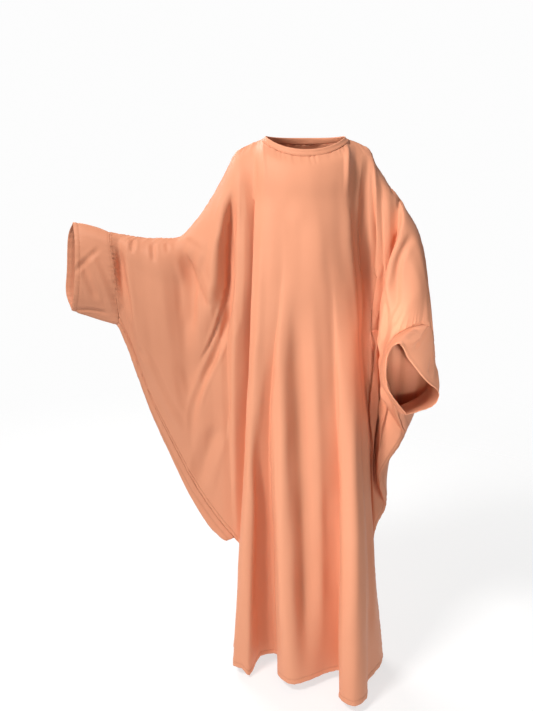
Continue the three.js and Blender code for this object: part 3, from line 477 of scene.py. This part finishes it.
def rows_below(faces, top):
    """Points of a sheet by their count of steps from its top edge, and each point's neighbours."""
    links = {}
    for face in faces:
        for vert in face:
            links.setdefault(vert, set()).update(face)
    row_of = {vert: 0 for vert in top}
    rows = [list(top)]
    while rows[-1]:
        below = []
        for vert in rows[-1]:
            for other in links[vert]:
                if other not in row_of:
                    row_of[other] = len(rows)
                    below.append(other)
        rows.append(below)
    rows.pop()
    beside = {
        vert: [o for o in links[vert] if o != vert and row_of[o] == row_of[vert]]
        for vert in row_of
    }
    return rows, beside


def walk(start, beside):
    """Points of a row in order from start."""
    order = [start]
    seen = {start}
    while True:
        onward = [vert for vert in beside[order[-1]] if vert not in seen]
        if not onward:
            return order
        order.append(onward[0])
        seen.add(onward[0])


def panel_rows(node):
    """A panel's outer face as rows of points, and the column at which its skirt rows start."""
    points, faces = outer_sheet(node)
    loop = max(edge_loops(faces), key=len)
    first, last = (
        loop.index(nearest_in(points, loop, place)) for place in CUFF_SEAMS.values()
    )
    onward = [loop[(first + i) % len(loop)] for i in range((last - first) % len(loop) + 1)]
    back = [loop[(first - i) % len(loop)] for i in range((first - last) % len(loop) + 1)]
    top = min(onward, back, key=len)
    rows, beside = rows_below(faces, top)
    grid = [points[top]]
    starts = [0]
    for row in rows[1:]:
        ends = [vert for vert in row if len(beside[vert]) == 1]
        start = min(ends, key=lambda vert: np.linalg.norm(points[vert] - grid[-1][0]))
        order = walk(start, beside)
        if len(order) != len(row):
            raise RuntimeError(f"{node}: row {len(grid)} isn't one line of points")
        line = points[order]
        span = len(grid[-1]) - len(line)
        shift = min(
            range(span + 1),
            key=lambda s: np.linalg.norm(grid[-1][s:s + len(line)] - line, axis=1).sum()
        )
        starts.append(starts[-1] + shift)
        grid.append(line)
    return grid, starts


def tube_rows(node):
    """A tube's outer face as rings of points, from its seam to its mouth."""
    points, faces = outer_sheet(node)
    place = BAND_FOOT if node == "neck_band" else CUFF_SEAMS[node]
    loops = edge_loops(faces)
    top = min(loops, key=lambda loop: np.linalg.norm(points[loop] - np.array(place), axis=1).min())
    rows, beside = rows_below(faces, top)
    grid = [points[top]]
    for row in rows[1:]:
        order = walk(row[0], beside)
        if len(order) != len(top) or len(row) != len(top):
            raise RuntimeError(f"{node}: ring {len(grid)} isn't one loop of {len(top)} points")
        turns = [
            np.roll(points[order[::way]], shift, axis=0)
            for way in (1, -1) for shift in range(len(order))
        ]
        grid.append(min(turns, key=lambda line: np.linalg.norm(line - grid[-1], axis=1).sum()))
    return np.array(grid)


def smooth_between(line, before, after, steps):
    """Smooth points from each entry of line to the next, steps[i] of them on gap i.

    Entries are points or whole rows of points. before and after are the entries past its ends."""
    whole = np.concatenate([before[None], line, after[None]])
    gaps = np.diff(whole, axis=0)
    size = np.maximum(np.linalg.norm(gaps, axis=-1, keepdims=True), 1e-6)
    slope = gaps / size
    turn = (slope[:-1] * size[1:] + slope[1:] * size[:-1]) / (size[1:] + size[:-1])
    pieces = []
    for i, count in enumerate(steps):
        part = np.arange(count) / count
        part = part.reshape((-1,) + (1,) * (line.ndim - 1))
        pull = size[i + 1]
        pieces.append(
            line[i] * (2 * part**3 - 3 * part**2 + 1)
            + turn[i] * pull * (part**3 - 2 * part**2 + part)
            + line[i + 1] * (3 * part**2 - 2 * part**3)
            + turn[i + 1] * pull * (part**3 - part**2)
        )
    pieces.append(line[-1:])
    return np.concatenate(pieces)


def past_end(line, end):
    """The entry past an open line's start (0) or end (-1), by mirroring its neighbour."""
    return 2 * line[0] - line[1] if end == 0 else 2 * line[-1] - line[-2]


def counts(line, step, edge_step, reach, fine_start, fine_end):
    """How many steps each gap of a line takes, more of them within reach of its fine ends."""
    gaps = np.linalg.norm(np.diff(line, axis=0), axis=-1)
    while gaps.ndim > 1:
        gaps = np.median(gaps, axis=-1)
    before = np.concatenate([[0], np.cumsum(gaps)])
    result = []
    for i, gap in enumerate(gaps):
        near_start = fine_start and before[i] < reach
        near_end = fine_end and before[-1] - before[i + 1] < reach
        wanted = edge_step if near_start or near_end else step
        result.append(max(1, round(gap / wanted)))
    return result


def across_panel(rows, steps):
    """Smooth points along each row of a panel."""
    line = np.swapaxes(rows, 0, 1)
    fine = smooth_between(line, past_end(line, 0), past_end(line, -1), steps)
    return np.swapaxes(fine, 0, 1)


def panel_grid(node, sizes):
    """A panel's fine points as an upper grid and a skirt grid, and the skirt's first column."""
    rows, starts = panel_rows(node)
    width = len(rows[0])
    full = [line for line in rows if len(line) == width]
    upper = np.array(full)
    skirt_start = starts[-1]
    skirt = np.array(rows[len(full):])
    count = skirt.shape[1]
    middle = slice(skirt_start, skirt_start + count)
    after = past_end(upper, -1)
    after[middle] = skirt[0]
    down_steps = counts(upper, sizes.down, sizes.edge_step, sizes.edge_reach, True, True)
    low = np.concatenate([upper[-1:, middle], skirt])
    low_steps = counts(low, sizes.down, sizes.edge_step, sizes.edge_reach, False, True)
    upper_fine = smooth_between(upper, past_end(upper, 0), after, down_steps)
    low_fine = smooth_between(low, upper[-2, middle], past_end(low, -1), low_steps)
    across = counts(np.swapaxes(upper, 0, 1), sizes.across, sizes.across, 0, False, False)
    first = sum(across[:skirt_start])
    upper_fine = across_panel(upper_fine, across)
    low_fine = across_panel(low_fine, across[skirt_start:skirt_start + count - 1])
    low_fine[0] = upper_fine[-1, first:first + low_fine.shape[1]]
    return upper_fine, low_fine, first


class Sheet:
    """A sheet of cloth as points, quads and facts on each point."""

    def __init__(self, node, points, quads):
        self.node = node
        self.points = points
        self.quads = quads

    def normals(self):
        """Smooth normals of the points."""
        corner = self.points[self.quads]
        face = np.cross(corner[:, 2] - corner[:, 0], corner[:, 3] - corner[:, 1])
        total = np.zeros_like(self.points)
        for k in range(4):
            np.add.at(total, self.quads[:, k], face)
        return total / np.maximum(np.linalg.norm(total, axis=1, keepdims=True), 1e-12)


def quads_of(ids, closed):
    """Quads over a grid of point numbers."""
    right = np.roll(ids, -1, axis=1)
    if not closed:
        ids, right = ids[:, :-1], right[:, :-1]
    return np.stack([ids[:-1], ids[1:], right[1:], right[:-1]], axis=-1).reshape(-1, 4)


def lengths_down(grid):
    """Distance down each column from the first row, and from the last row up."""
    gaps = np.linalg.norm(np.diff(grid, axis=0), axis=-1)
    down = np.concatenate([np.zeros((1, grid.shape[1])), np.cumsum(gaps, axis=0)])
    return down, down[-1] - down


def panel_sheet(node, sizes):
    """A panel as a sheet, with its distances from its seams and its lines for stitching."""
    upper, low, first = panel_grid(node, sizes)
    ids = np.arange(upper[:, :, 0].size).reshape(upper.shape[:2])
    low_ids = np.concatenate([
        ids[-1:, first:first + low.shape[1]],
        ids.size + np.arange(low[1:, :, 0].size).reshape(low[1:].shape[:2]),
    ])
    points = np.concatenate([upper.reshape(-1, 3), low[1:].reshape(-1, 3)])
    sheet = Sheet(node, points, np.concatenate([quads_of(ids, False), quads_of(low_ids, False)]))
    down, up = lengths_down(upper)
    low_down, low_up = lengths_down(low)
    last = first + low.shape[1]
    up[:, first:last] = FAR_OFF
    left, right = (table.T for table in lengths_down(np.swapaxes(upper, 0, 1)))
    low_left, low_right = (table.T for table in lengths_down(np.swapaxes(low, 0, 1)))
    middle = upper.shape[1] // 2
    across = left - left[:, middle:middle + 1]
    beyond_upper = np.full(low.shape[:2], FAR_OFF)
    beyond_low = np.full(upper.shape[:2], FAR_OFF)

    def join(above, below):
        """One value for each point: the upper grid's rows, then the skirt's."""
        return np.concatenate([above.reshape(-1), below[1:].reshape(-1)])

    sheet.marks = {
        "from_top": join(down, beyond_upper),
        "from_wing_seam": join(up, beyond_upper),
        "from_hem": join(beyond_low, low_up),
        "from_left": join(left, beyond_upper),
        "from_right": join(right, beyond_upper),
        "from_side_seam": join(beyond_low, np.minimum(low_left, low_right)),
        "along": join(across, low_left + across[-1, first]),
    }
    depth = join(down, low_down + down[-1, first:last])
    sheet.flat = np.stack([sheet.marks["along"], -depth], axis=1)
    sheet.lines = {
        "hem": [(low_ids[:, c], low_up[:, c]) for c in range(low_ids.shape[1])],
        "wing_left": [(ids[:, c], up[:, c]) for c in range(0, first)],
        "wing_right": [(ids[:, c], up[:, c]) for c in range(last, ids.shape[1])],
    }
    if sheet.normals()[:, 1].mean() * PANELS[node] < 0:
        sheet.quads = sheet.quads[:, ::-1]
    return sheet


def tube_sheet(node, sizes):
    """A cuff or the neck band as a sheet, with its distances from its seam and its free edge."""
    rings = tube_rows(node)
    steps = counts(rings, sizes.down * TUBE_DOWN, sizes.edge_step, TUBE_REACH, True, True)
    around = np.swapaxes(rings, 0, 1)
    closed = np.concatenate([around, around[:1]])
    across = sizes.across * TUBE_ACROSS
    gap_steps = counts(closed, across, across, 0, False, False)
    fine = smooth_between(closed, around[-1], around[1], gap_steps)[:-1]
    fine = np.swapaxes(fine, 0, 1)
    fine = smooth_between(fine, past_end(fine, 0), past_end(fine, -1), steps)
    ids = np.arange(fine[:, :, 0].size).reshape(fine.shape[:2])
    sheet = Sheet(node, fine.reshape(-1, 3), quads_of(ids, True))
    down, up = lengths_down(fine)
    gaps = np.linalg.norm(np.roll(fine, -1, axis=1) - fine, axis=-1)
    round_way = np.cumsum(gaps, axis=1) - gaps
    sheet.marks = {
        "from_seam": down.reshape(-1),
        "from_mouth": up.reshape(-1),
        "along": round_way.reshape(-1),
    }
    sheet.flat = np.stack([sheet.marks["along"], -sheet.marks["from_seam"]], axis=1)
    wrap = list(range(ids.shape[1])) + [0]
    sheet.lines = {
        "seam": [(ids[:, c], down[:, c]) for c in wrap],
        "mouth": [(ids[::-1, c], up[::-1, c]) for c in wrap],
    }
    centre = sheet.points.mean(axis=0)
    if np.sum(sheet.normals() * (sheet.points - centre)) < 0:
        sheet.quads = sheet.quads[:, ::-1]
    return sheet


def laid_path(surface, path):
    """A crease's line as points laid on the cloth, and its direction at each of them."""
    line = np.array(path, float).reshape(-1, 3) / MM
    gaps = np.linalg.norm(np.diff(line, axis=0), axis=1)
    steps = [max(1, round(gap / PATH_STEP)) for gap in gaps]
    line = smooth_between(line, past_end(line, 0), past_end(line, -1), steps)
    for _ in range(LAY_ROUNDS):
        line = np.array([surface.find_nearest(point)[0][:] for point in line])
        for _ in range(SMOOTH_ROUNDS):
            line[1:-1] = (line[:-2] + 2 * line[1:-1] + line[2:]) / 4
    return line, np.gradient(line, axis=0)


def trough(gap):
    """Cross-section of a soft trough with low lips, over distance in half widths."""
    lip = np.exp(-((np.abs(gap) - LIP_PLACE) ** 2) / LIP_SPREAD)
    return np.exp(-(gap**2)) - LIP_SHARE * lip


def fold_edge(gap):
    """Cross-section of a fold's edge: low and sharp beyond it, and a little high before it."""
    beyond = 1 / (1 + np.exp(-gap / EDGE_SHARP))
    before = EDGE_RISE * np.exp(-((gap / RISE_WIDTH) ** 2)) * (1 - beyond)
    return np.exp(-np.abs(gap) / EDGE_LENGTH) * beyond - before


def add_creases(sheet, share):
    """Moves the cloth in along its troughs and out along its ridges, and marks how much shade is
    painted where it lies deep.
    """
    normals = sheet.normals()
    surface = BVHTree.FromPolygons(sheet.points.tolist(), sheet.quads.tolist())
    shift = np.zeros(len(sheet.points))
    for name, depth, half, side, *path in CREASES[sheet.node]:
        line, way = laid_path(surface, path)
        reach = half / MM
        low = line.min(axis=0) - BOX_REACH * reach
        high = line.max(axis=0) + BOX_REACH * reach
        inside = np.flatnonzero(((sheet.points > low) & (sheet.points < high)).all(axis=1))
        if not len(inside):
            raise RuntimeError(f"{name}: no cloth within its reach")
        step = sheet.points[inside, None] - line[None]
        far = np.linalg.norm(step, axis=2)
        nearest = far.argmin(axis=1)
        gap = far.min(axis=1) / reach
        off = step[np.arange(len(inside)), nearest]
        turn = np.sign((np.cross(way[nearest], off) * normals[inside]).sum(axis=1))
        place = nearest / (len(line) - 1)
        fade = np.clip(np.minimum(place, 1 - place) / FADE, 0, 1)
        fade = fade * fade * (3 - 2 * fade)
        rise = fold_edge(gap * turn * side) if side else trough(gap)
        uneven = 1 + UNEVEN * np.sin(nearest * UNEVEN_TURN + half)
        shift[inside] += share * depth / MM * rise * fade * uneven
    sheet.points = sheet.points + normals * shift[:, None]
    # painted shade mask: how dark to paint the cloth where a trough lies deep
    sheet.marks["fold_shade"] = np.clip((-shift - FOLD_SHADE_FROM) / FOLD_SHADE_OVER, 0, 1)


def uneven_wave(along, wave):
    """Irregular wave from -1 to 1 along a seam."""
    turn = 2 * math.pi * along / wave
    main = np.sin(turn + 1.7 * np.sin(turn * 0.23))
    return (main + 0.6 * np.sin(turn * 1.63 + 2.0) + 0.4 * np.sin(turn * 0.41)) / 2


def add_unevenness(sheet, sizes):
    """Slow waves all over, and puckers beside each seam and hem."""
    normals = sheet.normals()
    slow = sheet.points * SLOW_WAVES
    quick = sheet.points * QUICK_WAVES + QUICK_START
    shift = np.array([
        noise.noise(Vector(a)) + QUICK_SHARE * noise.noise(Vector(b)) for a, b in zip(slow, quick)
    ]) * sizes.wave
    marks = sheet.marks
    quiet = BAND_WAVE if sheet.node == "neck_band" else 1.0
    along_of = {
        "from_left": marks.get("from_top"),
        "from_right": marks.get("from_top"),
        "from_side_seam": sheet.points[:, 2],
    }
    for name, reach, wave, part in PUCKERS:
        if name in marks:
            near = np.exp(-((marks[name] / reach) ** 2))
            ripple = uneven_wave(along_of.get(name, marks["along"]), wave)
            shift += quiet * part * sizes.pucker * near * ripple
    sheet.points = sheet.points + normals * (shift * quiet)[:, None]


def add_seam_grooves(sheet, threads):
    """Presses the cloth in along each line of stitches, and lets its edges swell."""
    normals = sheet.normals()
    marks = sheet.marks
    band = sheet.node == "neck_band"
    rows = [
        ("from_hem", threads.hem),
        ("from_wing_seam", threads.wing),
        ("from_left", threads.cuff),
        ("from_right", threads.cuff),
        ("from_seam", BAND_SEAM if band else threads.cuff),
        ("from_mouth", BAND_EDGE if band else threads.mouth),
    ]
    shift = np.zeros(len(sheet.points))
    line = np.zeros(len(sheet.points))
    for name, place in rows:
        if name in marks:
            pull = np.exp(-(((marks[name] - place) / GROOVE_WIDTH) ** 2))
            width = place * SWELL_WIDTH + SWELL_LEAST
            swell = np.exp(-(((marks[name] - place * SWELL_AT) / width) ** 2))
            shift += -GROOVE_DEPTH * pull + SWELL_HEIGHT * swell
            line = np.maximum(line, pull)
    sheet.points = sheet.points + normals * shift[:, None]
    # painted shade along each stitch line's groove, for the cloth material
    sheet.marks["seam_shade"] = line


def linked(name, mesh):
    """A smooth object in the scene that holds a mesh."""
    mesh.shade_smooth()
    thing = bpy.data.objects.new(name, mesh)
    bpy.context.scene.collection.objects.link(thing)
    return thing


def mesh_of(sheet, name):
    """A linked object that holds a sheet, with its lay-out in metres and its marks."""
    mesh = bpy.data.meshes.new(name)
    mesh.from_pydata(sheet.points.tolist(), [], sheet.quads.tolist())
    mesh.update()
    lay = mesh.uv_layers.new(name="Lay")
    order = np.zeros(len(mesh.loops), int)
    mesh.loops.foreach_get("vertex_index", order)
    lay.data.foreach_set("uv", sheet.flat[order].astype(np.float32).ravel())
    # painted shade masks for deep folds and for stitch grooves
    for mark in ("fold_shade", "seam_shade"):
        attribute = mesh.attributes.new(mark, "FLOAT", "POINT")
        attribute.data.foreach_set("value", sheet.marks[mark].astype(np.float32))
    return linked(name, mesh)


def thicken(thing, wall):
    """Gives a sheet its thickness, inwards."""
    bpy.ops.object.select_all(action="DESELECT")
    thing.select_set(True)
    bpy.context.view_layer.objects.active = thing
    solid = thing.modifiers.new("Wall", "SOLIDIFY")
    solid.thickness = wall
    solid.offset = -1.0
    solid.use_even_offset = False
    bpy.ops.object.modifier_apply(modifier=solid.name)
    thing.data.shade_smooth()


class Wire:
    """One value in a material's tree. Sums on it add Math nodes."""

    def __init__(self, tree, socket):
        self.tree = tree
        self.socket = socket

    def make(self, kind, settings=None, values=None, out=0):
        """Adds a node of a kind, with its settings first and then its sockets' values or links."""
        node = self.tree.nodes.new(kind)
        for name, value in (settings or {}).items():
            setattr(node, name, value)
        for key, value in (values or {}).items():
            if isinstance(value, Wire):
                self.tree.links.new(value.socket, node.inputs[key])
            else:
                node.inputs[key].default_value = value
        return Wire(self.tree, node.outputs[out])

    def cloudy(self, where, scale, detail):
        """Soft noise."""
        return self.make(
            "ShaderNodeTexNoise", {"noise_dimensions": "3D"},
            {"Vector": where, "Scale": scale, "Detail": detail},
        )

    def threads(self, lay, way, scale, distortion):
        """Threads of the weave that run one way."""
        return self.make(
            "ShaderNodeTexWave", {"wave_type": "BANDS", "bands_direction": way},
            {"Vector": lay, "Scale": scale, "Distortion": distortion, "Detail": 1.0}, out=1,
        )

    def mix(self, part, first, second):
        """A colour that goes from the first to the second as part goes from 0 to 1."""
        return self.make(
            "ShaderNodeMix", {"data_type": "RGBA"}, {0: part, 6: first, 7: second}, out=2
        )

    def bump(self, height, strength, distance):
        """A normal from a height."""
        return self.make(
            "ShaderNodeBump",
            values={"Strength": strength, "Distance": distance, "Height": height},
        )

    def sum_with(self, operation, *values):
        """A Math node over values."""
        return self.make("ShaderNodeMath", {"operation": operation}, dict(enumerate(values)))

    def __add__(self, other):
        return self.sum_with("ADD", self, other)

    __radd__ = __add__

    def __sub__(self, other):
        return self.sum_with("SUBTRACT", self, other)

    def __rsub__(self, other):
        return self.sum_with("SUBTRACT", other, self)

    def __mul__(self, other):
        return self.sum_with("MULTIPLY", self, other)

    __rmul__ = __mul__


def new_material(name, finish):
    """A material with its shader's fixed values, and a wire to build the rest from."""
    material = bpy.data.materials.new(name)
    material.use_nodes = True
    tree = material.node_tree
    for key, value in finish.items():
        tree.nodes["Principled BSDF"].inputs[key].default_value = value
    return material, Wire(tree, None)


def feed(material, wires):
    """Links wires to the material's shader."""
    tree = material.node_tree
    for key, wire in wires.items():
        tree.links.new(wire.socket, tree.nodes["Principled BSDF"].inputs[key])
    return material


def cloth_material(name, finishes):
    """Peach satin crepe: a fine weave, a soft sheen, and painted shade in its deep folds and along
    its stitch grooves.
    """
    material, wire = new_material(name, CLOTH_FINISH)
    where = wire.make("ShaderNodeTexCoord", out=3)
    lay = wire.make("ShaderNodeUVMap", {"uv_map": "Lay"})
    # painted shade masks: deep folds, then stitch grooves
    fold_shade = wire.make("ShaderNodeAttribute", {"attribute_name": "fold_shade"}, out=2)
    # painted shade along the stitch grooves
    line = wire.make("ShaderNodeAttribute", {"attribute_name": "seam_shade"}, out=2)
    patches = wire.cloudy(where, PATCH_SCALE, 3.0)
    flecks = wire.cloudy(where, FLECK_SCALE, 2.0)
    pale = [min(1.0, part * more) for part, more in zip(finishes.cloth, PALER)]
    paleness = patches * PATCH_PALE + flecks * FLECK_PALE - LESS_PALE
    tone = wire.mix(paleness, (*finishes.cloth, 1.0), (*pale, 1.0))
    # darkens the colour towards the painted shade colour in deep folds and along stitch grooves
    deep = wire.mix(fold_shade * FOLD_SHADE_TINT + line * SEAM_SHADE_TINT, tone, (*finishes.shade, 1.0))
    warp = wire.threads(lay, "X", WARP_SCALE, 2.0)
    weft = wire.threads(lay, "Y", WEFT_SCALE, 2.5)
    height = warp * THREAD_HEIGHT + weft * THREAD_HEIGHT + flecks * FLECK_HEIGHT
    return feed(material, {
        "Base Color": deep,
        "Roughness": flecks * FLECK_ROUGH + (finishes.roughness - FLECK_ROUGH / 2),
        "Normal": wire.bump(height, 0.22, 0.0004),
    })


def thread_material(finishes):
    """Twisted sewing thread, a shade darker than the cloth."""
    material, wire = new_material("sewing_thread", {"Roughness": 0.55})
    twist = wire.cloudy(wire.make("ShaderNodeTexCoord", out=3), 900.0, 2.0)
    return feed(material, {
        "Base Color": wire.mix(twist * 0.6, (*finishes.thread, 1.0), (*finishes.cloth, 1.0)),
        "Normal": wire.bump(twist, 0.3, 0.0002),
    })


def offset_line(sheet, name, place):
    """Points and normals of a line on the cloth, a set distance in from an edge."""
    normals = sheet.normals()
    spots = []
    for ids, far in sheet.lines[name]:
        reach = far.max()
        if reach < place:
            continue
        order = np.argsort(far)
        near = np.interp(place, far[order], np.arange(len(far)))
        low = int(near)
        high = min(low + 1, len(far) - 1)
        part = near - low
        first, second = ids[order[low]], ids[order[high]]
        point = sheet.points[first] * (1 - part) + sheet.points[second] * part
        normal = normals[first] * (1 - part) + normals[second] * part
        spots.append((point, normal / np.linalg.norm(normal)))
    return spots


def stitches_along(spots, threads):
    """Start, end and normal of each stitch on a line."""
    points, normals = (np.array(table) for table in zip(*spots))
    gaps = np.linalg.norm(np.diff(points, axis=0), axis=1)
    along = np.concatenate([[0], np.cumsum(gaps)])

    def at(table, place):
        """What a table says at a place along the line."""
        return np.array([np.interp(place, along, table[:, k]) for k in range(3)])

    result = []
    place = threads.gap
    while place + threads.length < along[-1]:
        end = place + threads.length
        result.append((at(points, place), at(points, end), at(normals, place)))
        place = end + threads.gap
    return result


def stitch_mesh(name, stitches, threads):
    """One object that holds every stitch, each a short round thread that dips at its ends."""
    verts = []
    faces = []
    for start, end, normal in stitches:
        way = (end - start) / np.linalg.norm(end - start)
        out = normal - way * np.dot(normal, way)
        out /= np.linalg.norm(out)
        side = np.cross(way, out)
        base = len(verts)
        for part, size, lift in STITCH_RINGS:
            centre = start + (end - start) * part + out * threads.radius * lift
            for k in range(STITCH_SIDES):
                turn = 2 * math.pi * k / STITCH_SIDES
                spoke = math.cos(turn) * side + math.sin(turn) * out
                verts.append(centre + threads.radius * size * spoke)
        last = base + (len(STITCH_RINGS) - 1) * STITCH_SIDES
        for ring in range(base, last, STITCH_SIDES):
            for k in range(STITCH_SIDES):
                a, b = ring + k, ring + (k + 1) % STITCH_SIDES
                faces.append((a, b, b + STITCH_SIDES, a + STITCH_SIDES))
        faces.append(tuple(base + k for k in reversed(range(STITCH_SIDES))))
        faces.append(tuple(last + k for k in range(STITCH_SIDES)))
    mesh = bpy.data.meshes.new(name)
    mesh.from_pydata([tuple(vert) for vert in verts], [], faces)
    shape = bmesh.new()
    shape.from_mesh(mesh)
    bmesh.ops.recalc_face_normals(shape, faces=shape.faces)
    shape.to_mesh(mesh)
    shape.free()
    return linked(name, mesh)


# Each piece's object and sheet, by node, once it is made
MADE = {}


def finish_piece(thing, material):
    """Gives a piece its material and its body."""
    thing.data.materials.clear()
    thing.data.materials.append(material)
    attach(thing, "root")


def make_cloth(node, scene):
    """One piece of cloth in place of its node."""
    sizes = scene.abaya_cloth
    threads = scene.abaya_threads
    sheet = panel_sheet(node, sizes) if node in PANELS else tube_sheet(node, sizes)
    add_creases(sheet, sizes.crease)
    add_unevenness(sheet, sizes)
    add_seam_grooves(sheet, threads)
    thing = mesh_of(sheet, f"{node}_cloth")
    thicken(thing, sizes.band_wall if node == "neck_band" else sizes.wall)
    name = f"{SLOTS[node]}_satin"
    material = bpy.data.materials.get(name) or cloth_material(name, scene.abaya_finishes)
    finish_piece(thing, material)
    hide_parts(node)
    MADE[node] = (thing, sheet)


def make_stitches(node, rows, scene):
    """One piece's lines of stitches: rows of line name and distance from the edge."""
    thing, sheet = MADE[node]
    threads = scene.abaya_threads
    stitches = []
    for name, place in rows:
        spots = offset_line(sheet, name, place)
        if len(spots) > 2:
            stitches += stitches_along(spots, threads)
    sewn = stitch_mesh(f"{node}_stitches", stitches, threads)
    material = bpy.data.materials.get("sewing_thread") or thread_material(scene.abaya_finishes)
    finish_piece(sewn, material)


class ABAYA_OT_panels(bpy.types.Operator):
    """Front and back, each cut in one with its wings, with their folds and creases"""

    bl_idname = "abaya.panels"
    bl_label = "Front and back"

    def execute(self, context):
        for node in PANELS:
            make_cloth(node, context.scene)
        return {"FINISHED"}


class ABAYA_OT_cuffs(bpy.types.Operator):
    """The two straight cuffs, sewn to the ends of the wings"""

    bl_idname = "abaya.cuffs"
    bl_label = "Cuffs"

    def execute(self, context):
        for node in CUFF_SEAMS:
            make_cloth(node, context.scene)
        return {"FINISHED"}


class ABAYA_OT_neck_band(bpy.types.Operator):
    """The doubled band that stands round the neckline"""

    bl_idname = "abaya.neck_band"
    bl_label = "Neck band"

    def execute(self, context):
        make_cloth("neck_band", context.scene)
        return {"FINISHED"}


class ABAYA_OT_stitches(bpy.types.Operator):
    """Lines of stitches along the seams and hems"""

    bl_idname = "abaya.stitches"
    bl_label = "Stitching"

    def execute(self, context):
        scene = context.scene
        threads = scene.abaya_threads
        for node in PANELS:
            make_stitches(node, [
                ("hem", threads.hem), ("wing_left", threads.wing), ("wing_right", threads.wing),
            ], scene)
        for node in CUFF_SEAMS:
            make_stitches(node, [("seam", threads.cuff), ("mouth", threads.mouth)], scene)
        make_stitches("neck_band", [("seam", BAND_SEAM)], scene)
        return {"FINISHED"}


def floor_material(radius):
    """Matt pale floor that thins out to nothing at its edge."""
    material, wire = new_material("studio_floor", FLOOR_FINISH)
    where = wire.make("ShaderNodeTexCoord", out=3)
    level = wire.make(
        "ShaderNodeVectorMath", {"operation": "MULTIPLY"}, {0: where, 1: (1.0, 1.0, 0.0)}
    )
    out = wire.make("ShaderNodeVectorMath", {"operation": "LENGTH"}, {0: level}, out=1)
    inner, outer = (radius * part for part in FLOOR_FADE)
    cover = wire.make(
        "ShaderNodeMapRange", {"interpolation_type": "SMOOTHSTEP"},
        {"Value": out, "From Min": inner, "From Max": outer, "To Min": 1.0, "To Max": 0.0},
    )
    greys = [(grey, grey, grey, 1.0) for grey in FLOOR_SHADES]
    tone = wire.mix(wire.cloudy(where, 1.4, 2.0), *greys)
    return feed(material, {"Base Color": tone, "Alpha": cover})


def studio_world():
    """White surroundings that give only a little light."""
    world = bpy.data.worlds.new("studio")
    world.use_nodes = True
    tree = world.node_tree
    seen = Wire(tree, None).make("ShaderNodeLightPath")
    strength = seen * WORLD_SEEN + WORLD_LIGHT
    back = tree.nodes["Background"]
    back.inputs["Color"].default_value = (1.0, 1.0, 1.0, 1.0)
    tree.links.new(strength.socket, back.inputs["Strength"])
    return world


def area_light(name, place, target, size, power, colour, spread):
    """A soft lamp that points at a target."""
    bpy.ops.object.light_add(type="AREA", location=place)
    lamp = bpy.context.object
    lamp.name = name
    lamp.data.shape = "RECTANGLE"
    lamp.data.size, lamp.data.size_y = size
    lamp.data.energy = power
    lamp.data.color = colour
    lamp.data.spread = math.radians(spread)
    lamp.rotation_euler = (Vector(target) - Vector(place)).to_track_quat("-Z", "Y").to_euler()


class ABAYA_OT_stage(bpy.types.Operator):
    """Pale floor, soft lamps and the camera"""

    bl_idname = "abaya.stage"
    bl_label = "Studio"

    def execute(self, context):
        scene = context.scene
        stage = scene.abaya_stage
        bpy.ops.object.select_all(action="DESELECT")
        radius = stage.floor_width / 2
        bpy.ops.mesh.primitive_circle_add(
            vertices=96, radius=radius, fill_type="NGON", location=(0, 0, stage.floor_height)
        )
        floor = context.object
        floor.name = "floor"
        bpy.ops.object.mode_set(mode="EDIT")
        for part in FLOOR_INSETS:
            bpy.ops.mesh.inset(thickness=radius * part)
        bpy.ops.object.mode_set(mode="OBJECT")
        bpy.ops.object.transform_apply(location=True, rotation=True, scale=True)
        floor.data.materials.append(floor_material(radius))
        scene.world = studio_world()
        for lamp in LAMPS:
            area_light(*lamp)
        bpy.ops.object.camera_add(
            location=stage.camera_place, rotation=(math.radians(90) - stage.camera_pitch, 0, 0)
        )
        camera = context.object
        camera.data.sensor_width = 36.0
        camera.data.lens = stage.lens
        camera.data.clip_end = 60
        scene.camera = camera
        scene.view_settings.view_transform = "Standard"
        return {"FINISHED"}


class ABAYA_PT_panel(bpy.types.Panel):
    """Sizes, colours and pieces of the abaya"""

    bl_idname = "ABAYA_PT_panel"
    bl_label = "Abaya"
    bl_space_type = "VIEW_3D"
    bl_region_type = "UI"
    bl_category = "Abaya"

    def draw(self, context):
        scene = context.scene
        for title, group in (
            ("Cloth", scene.abaya_cloth), ("Thread", scene.abaya_threads),
            ("Colours", scene.abaya_finishes), ("Studio", scene.abaya_stage),
        ):
            box = self.layout.box()
            box.label(text=title)
            for name in group.__annotations__:
                box.prop(group, name)
        for operator in OPERATORS:
            self.layout.operator(operator.bl_idname)


GROUPS = {
    "abaya_cloth": ClothSizes,
    "abaya_threads": ThreadSizes,
    "abaya_finishes": Finishes,
    "abaya_stage": StageSizes,
}
OPERATORS = (ABAYA_OT_panels, ABAYA_OT_cuffs, ABAYA_OT_neck_band, ABAYA_OT_stitches, ABAYA_OT_stage)


def register():
    """Adds the classes and their settings."""
    for name, group in GROUPS.items():
        bpy.utils.register_class(group)
        setattr(bpy.types.Scene, name, bpy.props.PointerProperty(type=group))
    for each in (*OPERATORS, ABAYA_PT_panel):
        bpy.utils.register_class(each)


def unregister():
    """Takes them away again."""
    for each in reversed((*OPERATORS, ABAYA_PT_panel)):
        bpy.utils.unregister_class(each)
    for name, group in GROUPS.items():
        delattr(bpy.types.Scene, name)
        bpy.utils.unregister_class(group)


def main():
    """Makes every piece in order."""
    register()
    bpy.ops.abaya.stage()
    bpy.ops.abaya.panels()
    bpy.ops.abaya.cuffs()
    bpy.ops.abaya.neck_band()
    bpy.ops.abaya.stitches()
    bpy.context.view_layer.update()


if __name__ == "__main__":
    main()
